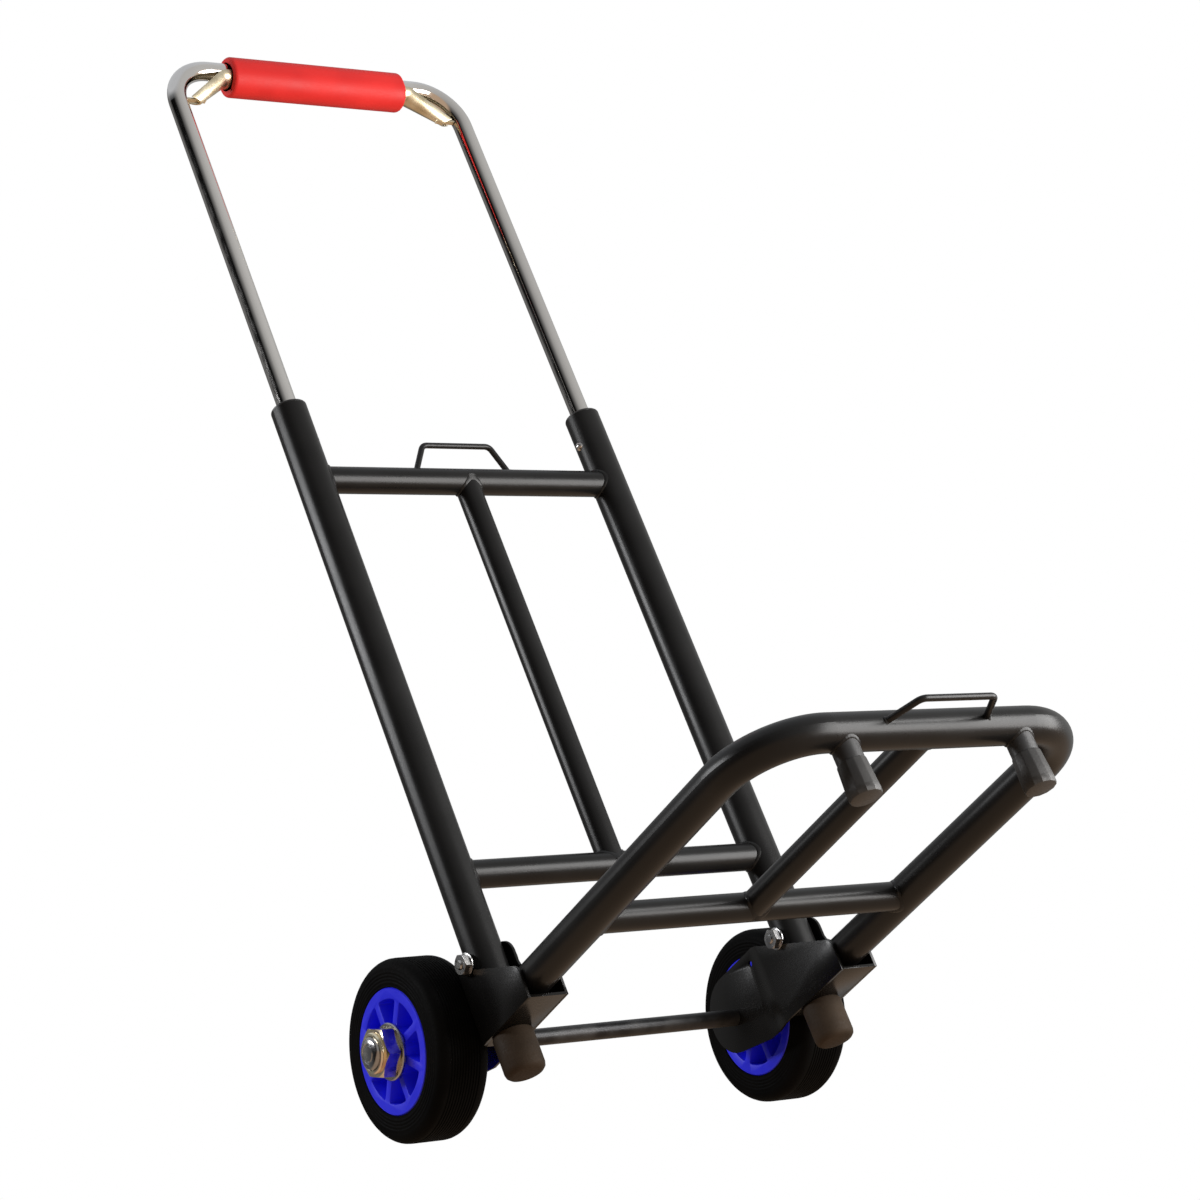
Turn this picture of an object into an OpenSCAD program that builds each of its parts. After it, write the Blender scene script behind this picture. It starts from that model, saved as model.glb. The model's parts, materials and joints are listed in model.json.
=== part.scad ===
// Folding luggage cart: a welded upright frame, a platform that folds up against
// it, a telescopic U handle with a squeeze release, and two wheels on one axle.
// The cart stands upright on its four feet and both wheels. The platform reaches
// towards -Y, "left" is the -X side, and the floor is Z = 0.

/* [Upright frame] */
// Distance between the two side tube axes
side_spacing = 260; // [220:1:330]
// Side tube outside diameter
side_tube_d = 27; // [22:0.5:34]
// Side tube wall
side_tube_wall = 1.5; // [1:0.1:2.2]
// Height of the side tubes' finished tops above the floor
side_tube_top = 546.5; // [450:0.5:660]
// Crossbar outside diameter
crossbar_d = 20; // [14:0.5:24]
// Wall of the crossbars and struts
crossbar_wall = 1.5; // [1:0.1:2.5]
// Height of the upper crossbar's axis
upper_bar_z = 482.4; // [400:0.1:510]
// Height of the lower crossbar's axis
lower_bar_z = 150.8; // [120:0.1:240]
// Centre strut outside diameter
strut_d = 19; // [14:0.5:22]

/* [Bracket] */
// Bracket sheet thickness
plate_t = 2; // [1.5:0.1:3]
// Height of the platform axis above the bracket's underside
web_drop = 17.3; // [15.5:0.1:24]
// Height of the tie bolt above the platform axis
ear_rise = 36.5; // [30:0.5:48]
// How far the bracket reaches in front of the platform pivot
nose_reach = 23; // [16:0.5:32]
// Radius of the bracket's upper front corner
nose_r = 10; // [4:0.5:14]
// Slope of the bracket's upper front edge in degrees
nose_slope = 26.5; // [10:0.5:35]
// Radius of the tongue's end around the axle
tongue_r = 28.5; // [20:0.5:34]
// Height of that round end's middle above the axle
tongue_rise = 3.5; // [0:0.5:6]
// How far the tongue is set outboard by its joggle
joggle = 2.5; // [0.5:0.1:4]
// Length of the joggle along the plate
joggle_l = 14.5; // [8:0.5:20]
// Distance from the back of the side tube to the joggle
joggle_gap = 10; // [4:0.5:16]
// Small hole in the tongue
tag_hole_d = 4.5; // [3:0.1:6]
// Distance from the tongue's upper edge to the small hole's middle
tag_inset = 9; // [5:0.5:12]

/* [Platform] */
// Height of the platform tube axis above the floor
deck_z = 47; // [42:0.5:70]
// Platform tube outside diameter
deck_tube_d = 25; // [20:0.5:30]
// Platform tube wall
deck_wall = 1.5; // [1:0.1:2.5]
// Distance from the side tubes to the front bar
deck_reach = 338; // [260:1:440]
// Radius of the platform's front corners, to the tube axis
deck_bend_r = 50; // [40:1:90]
// Distance from the side tubes to the platform crossbar
deck_bar_front = 121; // [90:1:160]
// Clear gap between folded platform and side tubes
fold_gap = 3; // [1.5:0.1:6]
// Pivot pin diameter
pivot_d = 10; // [6:0.5:12]
// Pivot bush outside diameter
pivot_bush_d = 14; // [13:0.5:18]

/* [Feet] */
// Rear foot diameter
rear_foot_d = 28.5; // [24:0.5:36]
// Depth of the rear foot's stem in the tube
rear_stem_l = 22; // [10:0.5:30]
// Distance between the front feet
front_foot_spacing = 140; // [90:1:180]
// Front foot stub diameter
stub_d = 18; // [12:0.5:20]
// Front foot cap diameter at the floor
cap_d = 22; // [21:0.5:30]
// Front foot cap height
cap_h = 25; // [14:0.5:30]
// Thickness of the cap under the stub
cap_floor = 5; // [3:0.5:8]

/* [Wheels] */
// Tyre outside diameter
wheel_d = 125; // [100:1:160]
// Tyre and rim width
tyre_w = 40; // [30:0.5:50]
// Rim outside diameter, where it shows inside the tyre
rim_d = 86; // [70:0.5:94]
// Radius of the tyre's shoulders
shoulder_r = 8; // [3:0.5:9]
// Clear gap between tyre and side tube
wheel_gap = 2; // [1.5:0.1:8]
// Number of spokes
spoke_count = 8; // [5:1:12]
// Spoke width
spoke_w = 5.5; // [3:0.1:9]
// Width of the rim's outer band
band_w = 7.5; // [5:0.5:10]
// Hub outside diameter
hub_d = 36; // [33:0.5:42]
// Depth of the pockets between the spokes
pocket_depth = 13; // [4:0.5:14]
// Height of the ridge that holds the tyre
ridge_h = 3; // [1:0.1:5]
// Width of that ridge
ridge_w = 12; // [6:0.5:20]

/* [Axle] */
// Cross axle diameter
axle_d = 12; // [8:0.5:14]
// Diameter of the wheel's journal
journal_d = 22; // [18:0.5:24]
// Collar between bracket and wheel, diameter
collar_d = 30; // [26:0.5:34]
// Collar between bracket and wheel, length
collar_l = 13.3; // [8:0.1:20]
// Depth of the cross axle in the wheel stub
axle_seat = 18; // [8:0.5:30]
// Length of each hub bush
bush_l = 16; // [8:0.5:18]
// Hub bush wall
bush_wall = 2; // [1.5:0.1:3]
// Axle washer diameter
washer_d = 39; // [37:0.5:44]
// Axle washer thickness
washer_t = 2.5; // [1.5:0.1:4]
// Axle nut size across its flats
nut_af = 32; // [30:0.5:36]
// Axle nut thickness
nut_t = 11; // [7:0.5:16]
// Height of the round collar on the nut
nut_collar_h = 2.5; // [1:0.1:4]
// Diameter of the round collar on the nut
nut_collar_d = 28; // [26:0.5:31]
// How far the stub shows past the nut
stub_show = 3; // [1:0.1:6]

/* [Handle] */
// Handle tube outside diameter
handle_tube_d = 15; // [13:0.5:18]
// Handle tube wall
handle_wall = 1.2; // [0.8:0.1:1.6]
// Height of the handle's top bar axis when pulled out
handle_top = 879; // [800:1:1050]
// Radius of the handle's corners, to the tube axis
handle_bend_r = 36; // [25:1:50]
// Grip length
grip_l = 161; // [120:1:175]
// Grip height
grip_h = 34; // [33:0.5:42]
// Grip depth
grip_w = 30; // [27:0.5:38]
// How far the grip's middle lies below the tube axis
grip_drop = 4.2; // [3.5:0.1:5]
// Length of the guide bush in the side tube
guide_l = 14; // [10:0.5:18]
// Thickness of the guide bush's lip on top of the side tube
guide_lip = 2; // [1:0.1:4]
// Slider plug length
plug_l = 26; // [18:0.5:32]

/* [Release] */
// Height of the lock button below the side tube's top
lock_drop = 28.5; // [28:0.5:40]
// Lock button diameter
button_d = 7.6; // [6:0.1:8]
// How far the lock button stands out of the side tube
button_show = 2.5; // [1.5:0.1:4]
// Travel of the release bar
release_travel = 4.5; // [3:0.1:5]
// Sheet thickness of the release bar
release_t = 1.5; // [1:0.1:2]
// Slope of the release bar's legs in degrees
leg_slope = 50; // [40:1:55]
// Length of the release bar's legs
leg_l = 36; // [28:0.5:38]
// How far the release bar shows past the grip before it bends
bar_show = 5; // [3:0.5:8]
// Pull rod diameter
rod_d = 4; // [3:0.1:4.5]
// Width of the tab between release bar and pull rod
tab_w = 4; // [3:0.1:5]

/* [Hooks] */
// Hook wire diameter
wire_d = 4.5; // [4:0.1:8]
// Width of a hook at its foot, between wire axes
hook_base_w = 90; // [60:1:120]
// Width of a hook at its top, between wire axes
hook_top_w = 58.5; // [30:0.5:90]
// Bend radius of the hook wire, to its axis
hook_bend_r = 6; // [4:0.5:9]
// Height of the upper hook's top wire above its crossbar axis
upper_hook_h = 30.5; // [26:0.5:50]
// Forward lean of the upper hook in degrees
upper_hook_lean = 8; // [0:1:20]
// Reach of the platform hook in front of the front bar axis
deck_hook_reach = 36; // [30:0.5:60]

/* [Tie bolt] */
// Tie bolt shank diameter
tie_d = 7; // [5:0.5:8]
// Tie bolt head and nut size across their flats
tie_af = 13; // [12:0.5:16]
// Tie bolt head thickness
tie_head_h = 5.3; // [4:0.1:7]
// Tie nut thickness
tie_nut_t = 4.5; // [4:0.1:8]
// Tie washer diameter
tie_washer_d = 16; // [15:0.5:20]
// Tie washer thickness
tie_washer_t = 1.2; // [1:0.1:2.5]
// How far the bolt shows past its nut
tie_show = 1; // [1:0.1:6]

/* [Clearances] */
// Radial clearance of a running fit
run_gap = 0.05; // [0.03:0.01:0.1]
// Radial clearance of a sliding fit
slide_gap = 0.1; // [0.05:0.01:0.1]
// Free gap between moving parts that don't bear on each other
free_gap = 0.5; // [0.4:0.1:1]
// Side clearance of the platform tube in its bracket
deck_side_gap = 1; // [0.5:0.1:2]
// Side clearance of the side tube in its bracket
tube_side_gap = 0.25; // [0.1:0.05:0.5]

/* [Hidden] */
$fn = 96;
over = 1;                 // how far a cutting shape runs past the piece it cuts
left = -1;
right = 1;
bend_steps = 4;           // straight lengths in a bend of hook wire
wire_sides = 24;          // sides of the hook wire

side_bore = side_tube_d - 2 * side_tube_wall;
handle_bore = handle_tube_d - 2 * handle_wall;
side_x = side_spacing / 2;
web_z = deck_z - web_drop;
pivot_y = -(side_tube_d + deck_tube_d) / 2 - fold_gap;
ear_r = side_tube_d / 2;
ear_z = deck_z + ear_rise;
channel_gap = max(side_tube_d + 2 * tube_side_gap, deck_tube_d + 2 * deck_side_gap);
channel_half = channel_gap / 2 + plate_t;
nose_y = pivot_y - nose_reach;
axle_y = side_tube_d / 2 + wheel_gap + wheel_d / 2;
axle_z = wheel_d / 2;
joggle_y = side_tube_d / 2 + joggle_gap;
web_back = side_tube_d / 2 + plate_t;
tongue_z = axle_z + tongue_rise;
tongue_top = tongue_z + tongue_r;
nose_mid = [nose_y + nose_r, deck_z];
slope_foot = nose_mid + nose_r * [-sin(nose_slope), cos(nose_slope)];
tongue_face = side_x - channel_gap / 2 + joggle;
wheel_in = tongue_face + collar_l + free_gap;
wheel_out = wheel_in + tyre_w;
washer_x = wheel_out + free_gap;
nut_x = washer_x + washer_t;
stub_end = nut_x + nut_t + nut_collar_h + stub_show;
hub_bore = journal_d + 2 * run_gap + 2 * bush_wall;
lock_z = side_tube_top - lock_drop;
plug_z = lock_z - plug_l / 2;
release_r = handle_tube_d / 2 + free_gap;
release_z = handle_top - release_travel;
leg_x = grip_l / 2 + bar_show;
tab_z = release_z - leg_l * sin(leg_slope);
tie_end = channel_half + tie_washer_t + tie_nut_t + tie_show;

// Inside a handle leg: the pull rod's end disc, the button's leaf spring, the rod's return
// spring and that spring's seat.
disc_z = lock_z + 3 * button_d;
disc_t = 2;
leaf_x = handle_bore / 4;
leaf_t = 0.6;
leaf_w = 5;
disc_d = handle_bore - 3;
spring_l = 20;
seat_t = 3;

// The side tubes stand this far behind the middle of the cart's footprint.
upright_y = (deck_reach + deck_hook_reach + wire_d / 2 - axle_y - wheel_d / 2) / 2;

// ---------------------------------------------------------------- shared shapes

// Places a shape drawn with the side tubes at Y = 0.
module in_frame() {
    translate([0, upright_y, 0]) children();
}

// Draws a shape at one side tube's axis, with +X pointing outboard.
module at_side(side) {
    in_frame() mirror([side < 0 ? 1 : 0, 0, 0]) translate([side_x, 0, 0]) children();
}

// A bar along X, from x0 to x1.
module bar_x(d, x0, x1) {
    translate([x0, 0, 0]) rotate([0, 90, 0]) cylinder(d = d, h = x1 - x0);
}

// A pipe along Z that starts at Z = 0.
module pipe(d, wall, l) {
    difference() {
        cylinder(d = d, h = l);
        translate([0, 0, -over]) cylinder(d = d - 2 * wall, h = l + 2 * over);
    }
}

// A U of round bar in the XZ plane: the crown lies along X at Z = 0 and the legs hang down.
module u_bar(d, half_w, bend_r, drop) {
    bar_x(d, bend_r - half_w, half_w - bend_r);
    for (flip = [0, 1]) mirror([flip, 0, 0]) {
        translate([half_w, 0, -drop]) cylinder(d = d, h = drop - bend_r);
        translate([half_w - bend_r, 0, -bend_r])
            rotate([90, 0, 0]) rotate_extrude(angle = 90) translate([bend_r, 0]) circle(d = d);
    }
}

// The same U as a pipe, open at both ends.
module u_pipe(d, wall, half_w, bend_r, drop) {
    difference() {
        u_bar(d, half_w, bend_r, drop);
        u_bar(d - 2 * wall, half_w, bend_r, drop + over);
    }
}

// Extrudes a side view, drawn as [Y, Z], along X from x0 to x1.
module side_view(x0, x1) {
    translate([x0, 0, 0]) rotate([90, 0, 90]) linear_extrude(x1 - x0) children();
}

// A hexagon prism along X with its flats apart by af.
module hex_x(af, x0, x1) {
    translate([x0, 0, 0]) rotate([0, 90, 0]) cylinder(d = af / cos(30), h = x1 - x0, $fn = 6);
}

// A bent wire in the XZ plane: its feet at Z = 0 and its top at Z = h.
module hook_wire(h) {
    spread = (hook_base_w - hook_top_w) / 2;
    turn = atan2(h, spread);
    flat = hook_top_w / 2 - hook_bend_r * tan(turn / 2);
    bend = [for (i = [0 : bend_steps]) [
        flat + hook_bend_r * sin(turn * i / bend_steps),
        h - hook_bend_r + hook_bend_r * cos(turn * i / bend_steps)
    ]];
    points = concat([[0, h]], bend, [[hook_base_w / 2, 0]]);
    for (flip = [0, 1]) mirror([flip, 0, 0])
        for (i = [1 : len(points) - 1]) hull()
            for (p = [points[i - 1], points[i]])
                translate([p.x, 0, p.y]) sphere(d = wire_d, $fn = wire_sides);
}

// ---------------------------------------------------------------- upright frame

// A side tube, with the tie bolt's holes and the lock button's hole.
module side_tube(side) {
    color("#1b1c1f") at_side(side) difference() {
        translate([0, 0, web_z])
            pipe(side_tube_d, side_tube_wall, side_tube_top - guide_lip - web_z);
        translate([0, 0, ear_z]) bar_x(tie_d, -side_tube_d, side_tube_d);
        translate([0, 0, lock_z]) bar_x(button_d + 2 * slide_gap, -side_tube_d, 0);
    }
}

// A crossbar between the side tubes, coped to them.
module crossbar(z) {
    color("#1b1c1f") in_frame() difference() {
        translate([0, 0, z]) rotate([0, 90, 0]) translate([0, 0, -side_x])
            pipe(crossbar_d, crossbar_wall, 2 * side_x);
        for (side = [left, right]) translate([side * side_x, 0, z - side_tube_d])
            cylinder(d = side_tube_d, h = 2 * side_tube_d);
    }
}

// The upright strut between the crossbars, coped to both.
module centre_strut() {
    color("#1b1c1f") in_frame() difference() {
        translate([0, 0, lower_bar_z]) pipe(strut_d, crossbar_wall, upper_bar_z - lower_bar_z);
        for (z = [lower_bar_z, upper_bar_z])
            translate([0, 0, z]) bar_x(crossbar_d, -side_x, side_x);
    }
}

// The cord hook on top of the upper crossbar.
module upper_hook() {
    color("#1b1c1f") in_frame() translate([0, 0, upper_bar_z]) difference() {
        rotate([upper_hook_lean, 0, 0]) hook_wire(upper_hook_h);
        bar_x(crossbar_d, -side_x, side_x);
    }
}

// Height of the bracket's sloping upper edge at that Y.
function slope_z(y) = slope_foot.y + (y - slope_foot.x) * tan(nose_slope);

// The bracket's side view in front of the tongue. Only the plate towards +X has the round
// ear for the tie bolt's head; the other one ends just below the bolt.
module gusset_view(eared) {
    top = eared ? [[ear_r, ear_z], [-ear_r, ear_z], [-ear_r, slope_z(-ear_r)]]
        : [[ear_r, slope_z(ear_r)]];
    if (eared) translate([0, ear_z]) circle(r = ear_r);
    translate(nose_mid) circle(r = nose_r);
    polygon(concat([[ear_r, web_z]], top,
        [slope_foot, nose_mid, [nose_y, nose_mid.y], [nose_y, web_z]]));
}

// The tongue's side view: it runs back from the gusset and ends round about the axle.
module tongue_view(eared) {
    meet = slope_foot.x + (tongue_top - slope_foot.y) / tan(nose_slope);
    low = [axle_y - tongue_r, web_z];
    span = [axle_y, tongue_z] - low;
    run = sqrt(span * span - tongue_r * tongue_r);
    rise = atan2(span.y, span.x) - asin(tongue_r / norm(span));
    polygon(concat(
        [[0, web_z], low, low + run * [cos(rise), sin(rise)]],
        [[axle_y, tongue_z], [axle_y, tongue_top]],
        eared ? [[0, tongue_top]] : [[min(max(meet, over), axle_y - over), tongue_top], [0, slope_z(0)]]
    ));
    translate([axle_y, tongue_z]) circle(r = tongue_r);
}

// The plan of the inner plate, which steps outboard behind the side tube.
module joggled_plan() {
    x0 = -channel_half;
    back = axle_y + tongue_r + over;
    polygon([
        [x0, nose_y - over], [x0, joggle_y], [x0 + joggle, joggle_y + joggle_l],
        [x0 + joggle, back], [x0 + joggle + plate_t, back],
        [x0 + joggle + plate_t, joggle_y + joggle_l], [x0 + plate_t, joggle_y],
        [x0 + plate_t, nose_y - over]
    ]);
}

// A pressed bracket: outer gusset, web under the tubes, and inner plate with its tongue.
module bracket(side) {
    color("#17181a") at_side(side) difference() {
        union() {
            side_view(channel_gap / 2, channel_half) gusset_view(side > 0);
            intersection() {
                linear_extrude(ear_z + wheel_d) joggled_plan();
                side_view(-channel_half, -channel_gap / 2 + joggle) union() {
                    gusset_view(side < 0);
                    tongue_view(side < 0);
                }
            }
            translate([-channel_half, nose_y, web_z])
                cube([2 * channel_half, web_back - nose_y, plate_t]);
        }
        translate([0, 0, web_z - over]) cylinder(d = side_tube_d, h = plate_t + 2 * over);
        translate([0, 0, ear_z]) bar_x(tie_d, -side_tube_d, side_tube_d);
        translate([0, pivot_y, deck_z]) bar_x(pivot_d, -side_tube_d, side_tube_d);
        translate([0, axle_y, axle_z]) bar_x(axle_d + 2 * run_gap, -side_tube_d, 0);
        translate([0, joggle_y + joggle_l + tag_hole_d / 2, tongue_top - tag_inset])
            bar_x(tag_hole_d, -side_tube_d, 0);
    }
}

// The plastic bush that closes the side tube and guides the handle.
module guide_bush(side) {
    color("#131416") at_side(side) difference() {
        union() {
            translate([0, 0, side_tube_top - guide_l]) cylinder(d = side_bore, h = guide_l);
            translate([0, 0, side_tube_top - guide_lip]) cylinder(d = side_tube_d, h = guide_lip);
        }
        translate([0, 0, side_tube_top - guide_l - over])
            cylinder(d = handle_tube_d + 2 * slide_gap, h = guide_l + 2 * over);
    }
}

// Both tie bolts point the same way, with their heads towards +X.
module at_tie_bolts() {
    in_frame() for (side = [left, right]) translate([side * side_x, 0, ear_z]) children();
}

// Two bolts through bracket and side tube.
module tie_bolts() {
    color("silver") at_tie_bolts() {
        bar_x(tie_d, -tie_end, channel_half);
        hex_x(tie_af, channel_half, channel_half + tie_head_h);
    }
}

// Their nuts.
module tie_nuts() {
    color("silver") at_tie_bolts() difference() {
        hex_x(tie_af, -tie_end + tie_show, -channel_half - tie_washer_t);
        bar_x(tie_d, -2 * tie_end, 0);
    }
}

// The washers under those nuts.
module tie_washers() {
    color("silver") at_tie_bolts() difference() {
        bar_x(tie_washer_d, -channel_half - tie_washer_t, -channel_half);
        bar_x(tie_d, -2 * tie_end, 0);
    }
}

// Two flush pins that the platform folds on.
module pivot_pins() {
    color("#2a2b2d") in_frame() for (side = [left, right])
        translate([side * side_x, pivot_y, deck_z]) bar_x(pivot_d, -channel_half, channel_half);
}

// A rubber foot: a stem pressed in the side tube over a round pad.
module rear_foot(side) {
    color("#3c3733") at_side(side) union() {
        cylinder(d = rear_foot_d, h = web_z);
        translate([0, 0, web_z]) cylinder(d = side_bore, h = rear_stem_l);
    }
}

// ---------------------------------------------------------------- axle

// The rod between the brackets, seated in both wheel stubs.
module cross_axle() {
    color("#5b5c60") in_frame() translate([0, axle_y, axle_z])
        bar_x(axle_d, -tongue_face - axle_seat, tongue_face + axle_seat);
}

// A turned stub: a collar against the bracket, the wheel's journal, and the nut's end.
module wheel_stub(side) {
    color("silver") at_side(side) translate([-side_x, axle_y, axle_z]) difference() {
        union() {
            bar_x(collar_d, tongue_face, tongue_face + collar_l);
            bar_x(journal_d, tongue_face, stub_end);
        }
        bar_x(axle_d, tongue_face - over, tongue_face + axle_seat);
    }
}

// One washer outside each wheel.
module axle_washers() {
    color("silver") for (side = [left, right]) at_side(side)
        translate([-side_x, axle_y, axle_z]) difference() {
            bar_x(washer_d, washer_x, nut_x);
            bar_x(journal_d, wheel_in, stub_end + over);
        }
}

// One locking nut outside each washer.
module axle_nuts() {
    color("#c9b370") for (side = [left, right]) at_side(side)
        translate([-side_x, axle_y, axle_z]) difference() {
            union() {
                hex_x(nut_af, nut_x, nut_x + nut_t);
                bar_x(nut_collar_d, nut_x + nut_t, nut_x + nut_t + nut_collar_h);
            }
            bar_x(journal_d, wheel_in, stub_end + over);
        }
}

// ---------------------------------------------------------------- wheels

// Draws a wheel part in its axle's frame, with X = 0 at the wheel's inner face.
module at_wheel(side) {
    at_side(side) translate([wheel_in - side_x, axle_y, axle_z]) children();
}

// The tyre's half section, drawn as [radius, width], less the rim's seat.
module tyre_section() {
    difference() {
        union() {
            translate([rim_d / 2, 0]) square([(wheel_d - rim_d) / 2 - shoulder_r, tyre_w]);
            translate([rim_d / 2, shoulder_r])
                square([(wheel_d - rim_d) / 2, tyre_w - 2 * shoulder_r]);
            for (w = [shoulder_r, tyre_w - shoulder_r])
                translate([wheel_d / 2 - shoulder_r, w]) circle(r = shoulder_r);
        }
        translate([rim_d / 2 - over, (tyre_w - ridge_w) / 2]) square([ridge_h + over, ridge_w]);
    }
}

// The solid rubber tyre.
module tyre(side) {
    color("#101011") at_wheel(side) rotate([0, 90, 0]) rotate_extrude() tyre_section();
}

// The pockets between the spokes, as a flat shape.
module pocket_plan() {
    difference() {
        circle(d = rim_d - 2 * band_w);
        circle(d = hub_d);
        for (i = [0 : spoke_count - 1]) rotate(i * 360 / spoke_count)
            translate([0, -spoke_w / 2]) square([rim_d, spoke_w]);
    }
}

// The moulded rim: a band and a hub joined by a disc and spokes.
module rim(side) {
    color("#2525e0") at_wheel(side) rotate([0, 90, 0]) difference() {
        union() {
            cylinder(d = rim_d, h = tyre_w);
            translate([0, 0, (tyre_w - ridge_w) / 2]) cylinder(d = rim_d + 2 * ridge_h, h = ridge_w);
        }
        translate([0, 0, -over]) cylinder(d = hub_bore, h = tyre_w + 2 * over);
        for (z = [-over, tyre_w - pocket_depth])
            translate([0, 0, z]) linear_extrude(pocket_depth + over) pocket_plan();
    }
}

// The two plain bushes pressed in one hub.
module hub_bushes(side) {
    color("#d8d8d2") at_wheel(side) for (x = [0, tyre_w - bush_l]) difference() {
        bar_x(hub_bore, x, x + bush_l);
        bar_x(journal_d + 2 * run_gap, x - over, x + bush_l + over);
    }
}

// ---------------------------------------------------------------- platform

// Trims a platform leg's back end round about its pivot, inside the length s either side.
module round_back(s) {
    difference() {
        translate([-s, 0, -s]) cube([2 * s, 2 * s, 2 * s]);
        bar_x(deck_tube_d, -s, s);
    }
}

// Draws a U that hangs down from Z = 0 as the platform's, level and reaching forwards.
module as_platform() {
    translate([0, -deck_reach, deck_z]) rotate([90, 0, 0]) children();
}

// The bent tube of the platform, bored at its back ends for the pivots.
module platform_loop() {
    color("#1b1c1f") in_frame() difference() {
        as_platform()
            u_pipe(deck_tube_d, deck_wall, side_x, deck_bend_r, deck_reach + pivot_y + deck_tube_d);
        for (side = [left, right]) translate([side * side_x, pivot_y, deck_z]) {
            round_back(deck_tube_d);
            bar_x(pivot_bush_d, -deck_tube_d, deck_tube_d);
        }
    }
}

// The plastic bushes that line both pivots.
module pivot_bushes() {
    color("#d8d8d2") in_frame() for (side = [left, right])
        translate([side * side_x, pivot_y, deck_z]) difference() {
            bar_x(pivot_bush_d, -deck_tube_d / 2, deck_tube_d / 2);
            bar_x(pivot_d + 2 * run_gap, -deck_tube_d, deck_tube_d);
        }
}

// The crossbar between the platform's legs, coped to them.
module platform_crossbar() {
    color("#1b1c1f") in_frame() translate([0, -deck_bar_front, deck_z]) difference() {
        rotate([0, 90, 0]) translate([0, 0, -side_x]) pipe(crossbar_d, crossbar_wall, 2 * side_x);
        for (side = [left, right]) translate([side * side_x, deck_tube_d, 0])
            rotate([90, 0, 0]) cylinder(d = deck_tube_d, h = 2 * deck_tube_d);
    }
}

// The strut from that crossbar to the front bar, coped to both.
module platform_strut() {
    color("#1b1c1f") in_frame() translate([0, 0, deck_z]) difference() {
        translate([0, -deck_bar_front, 0]) rotate([90, 0, 0])
            pipe(strut_d, crossbar_wall, deck_reach - deck_bar_front);
        translate([0, -deck_bar_front, 0]) bar_x(crossbar_d, -side_x, side_x);
        translate([0, -deck_reach, 0]) bar_x(deck_tube_d, -side_x, side_x);
    }
}

// The cord hook on the front bar, lying level with the platform.
module platform_hook() {
    color("#1b1c1f") in_frame() translate([0, -deck_reach, deck_z]) difference() {
        rotate([90, 0, 0]) hook_wire(deck_hook_reach);
        bar_x(deck_tube_d, -side_x, side_x);
    }
}

// The stubs under the front bar that the front feet are pushed on, coped to the bent tube.
module foot_stubs() {
    color("#1b1c1f") in_frame() difference() {
        for (side = [left, right])
            translate([side * front_foot_spacing / 2, -deck_reach, cap_floor])
                cylinder(d = stub_d, h = deck_z - cap_floor);
        as_platform() u_bar(deck_tube_d, side_x, deck_bend_r, deck_reach / 2);
    }
}

// A rubber cap on a front stub.
module front_foot(side) {
    color("#3c3733") in_frame() translate([side * front_foot_spacing / 2, -deck_reach, 0])
        difference() {
            cylinder(d = cap_d, h = cap_h);
            translate([0, 0, cap_floor]) cylinder(d = stub_d, h = cap_h);
        }
}

// ---------------------------------------------------------------- handle

// The bent handle tube, with the button holes low down and the release slots high up.
module handle_loop() {
    slot_h = release_travel + release_t + 2 * free_gap;
    color("#c8c6c2") in_frame() difference() {
        translate([0, 0, handle_top])
            u_pipe(handle_tube_d, handle_wall, side_x, handle_bend_r, handle_top - plug_z);
        for (side = [left, right]) translate([side * side_x, 0, 0])
            mirror([side < 0 ? 1 : 0, 0, 0]) {
                translate([0, 0, lock_z]) bar_x(button_d + 2 * slide_gap, -handle_tube_d, 0);
                translate([-handle_tube_d, -tab_w / 2 - free_gap, tab_z - release_t / 2 - free_gap])
                    cube([handle_tube_d, tab_w + 2 * free_gap, slot_h]);
            }
    }
}

// The soft sleeve's outline in side view, drawn as [Y, Z] about its middle.
module grip_view() {
    for (z = [-1, 1]) translate([0, z * (grip_h - grip_w) / 2]) circle(d = grip_w);
    square([grip_w, grip_h - grip_w], center = true);
}

// The room under the tube for the release bar's whole travel, in the same view.
module pocket_view() {
    pocket_r = release_r + release_t + free_gap;
    translate([0, -release_travel]) intersection() {
        circle(r = pocket_r);
        translate([-pocket_r, -2 * pocket_r]) square(2 * pocket_r);
    }
    translate([-pocket_r, -release_travel]) square([2 * pocket_r, release_travel + free_gap]);
}

// The sleeve round the top bar, with that room under the tube.
module grip() {
    color("#ee322d") in_frame() translate([0, 0, handle_top]) difference() {
        translate([0, 0, -grip_drop]) side_view(-grip_l / 2, grip_l / 2) grip_view();
        bar_x(handle_tube_d, -grip_l, grip_l);
        side_view(-grip_l, grip_l) pocket_view();
    }
}

// The plug on a handle leg's foot that runs in the side tube.
module slider_plug(side) {
    color("#d8d8d2") at_side(side) difference() {
        translate([0, 0, plug_z]) cylinder(d = side_bore - 2 * slide_gap, h = plug_l);
        translate([0, 0, plug_z - over]) cylinder(d = handle_tube_d, h = plug_l + 2 * over);
        translate([0, 0, lock_z]) bar_x(button_d + 2 * slide_gap, -side_tube_d, 0);
    }
}

// The lock button and the leaf spring that presses it out through both tubes.
module lock_button(side) {
    tip = side_tube_d / 2 + button_show - button_d / 2;
    color("silver") at_side(side) translate([0, 0, lock_z]) union() {
        translate([-tip, 0, 0]) sphere(d = button_d);
        bar_x(button_d, -tip, -leaf_x);
        translate([-leaf_x - leaf_t, -leaf_w / 2, -button_d])
            cube([leaf_t, leaf_w, 3 * button_d]);
    }
}

// The rings in the handle legs that the return springs push against.
module spring_seats() {
    color("silver") for (side = [left, right]) at_side(side)
        translate([0, 0, disc_z + disc_t + spring_l])
            pipe(handle_bore, (handle_bore - rod_d) / 2 - free_gap, seat_t);
}

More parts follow.
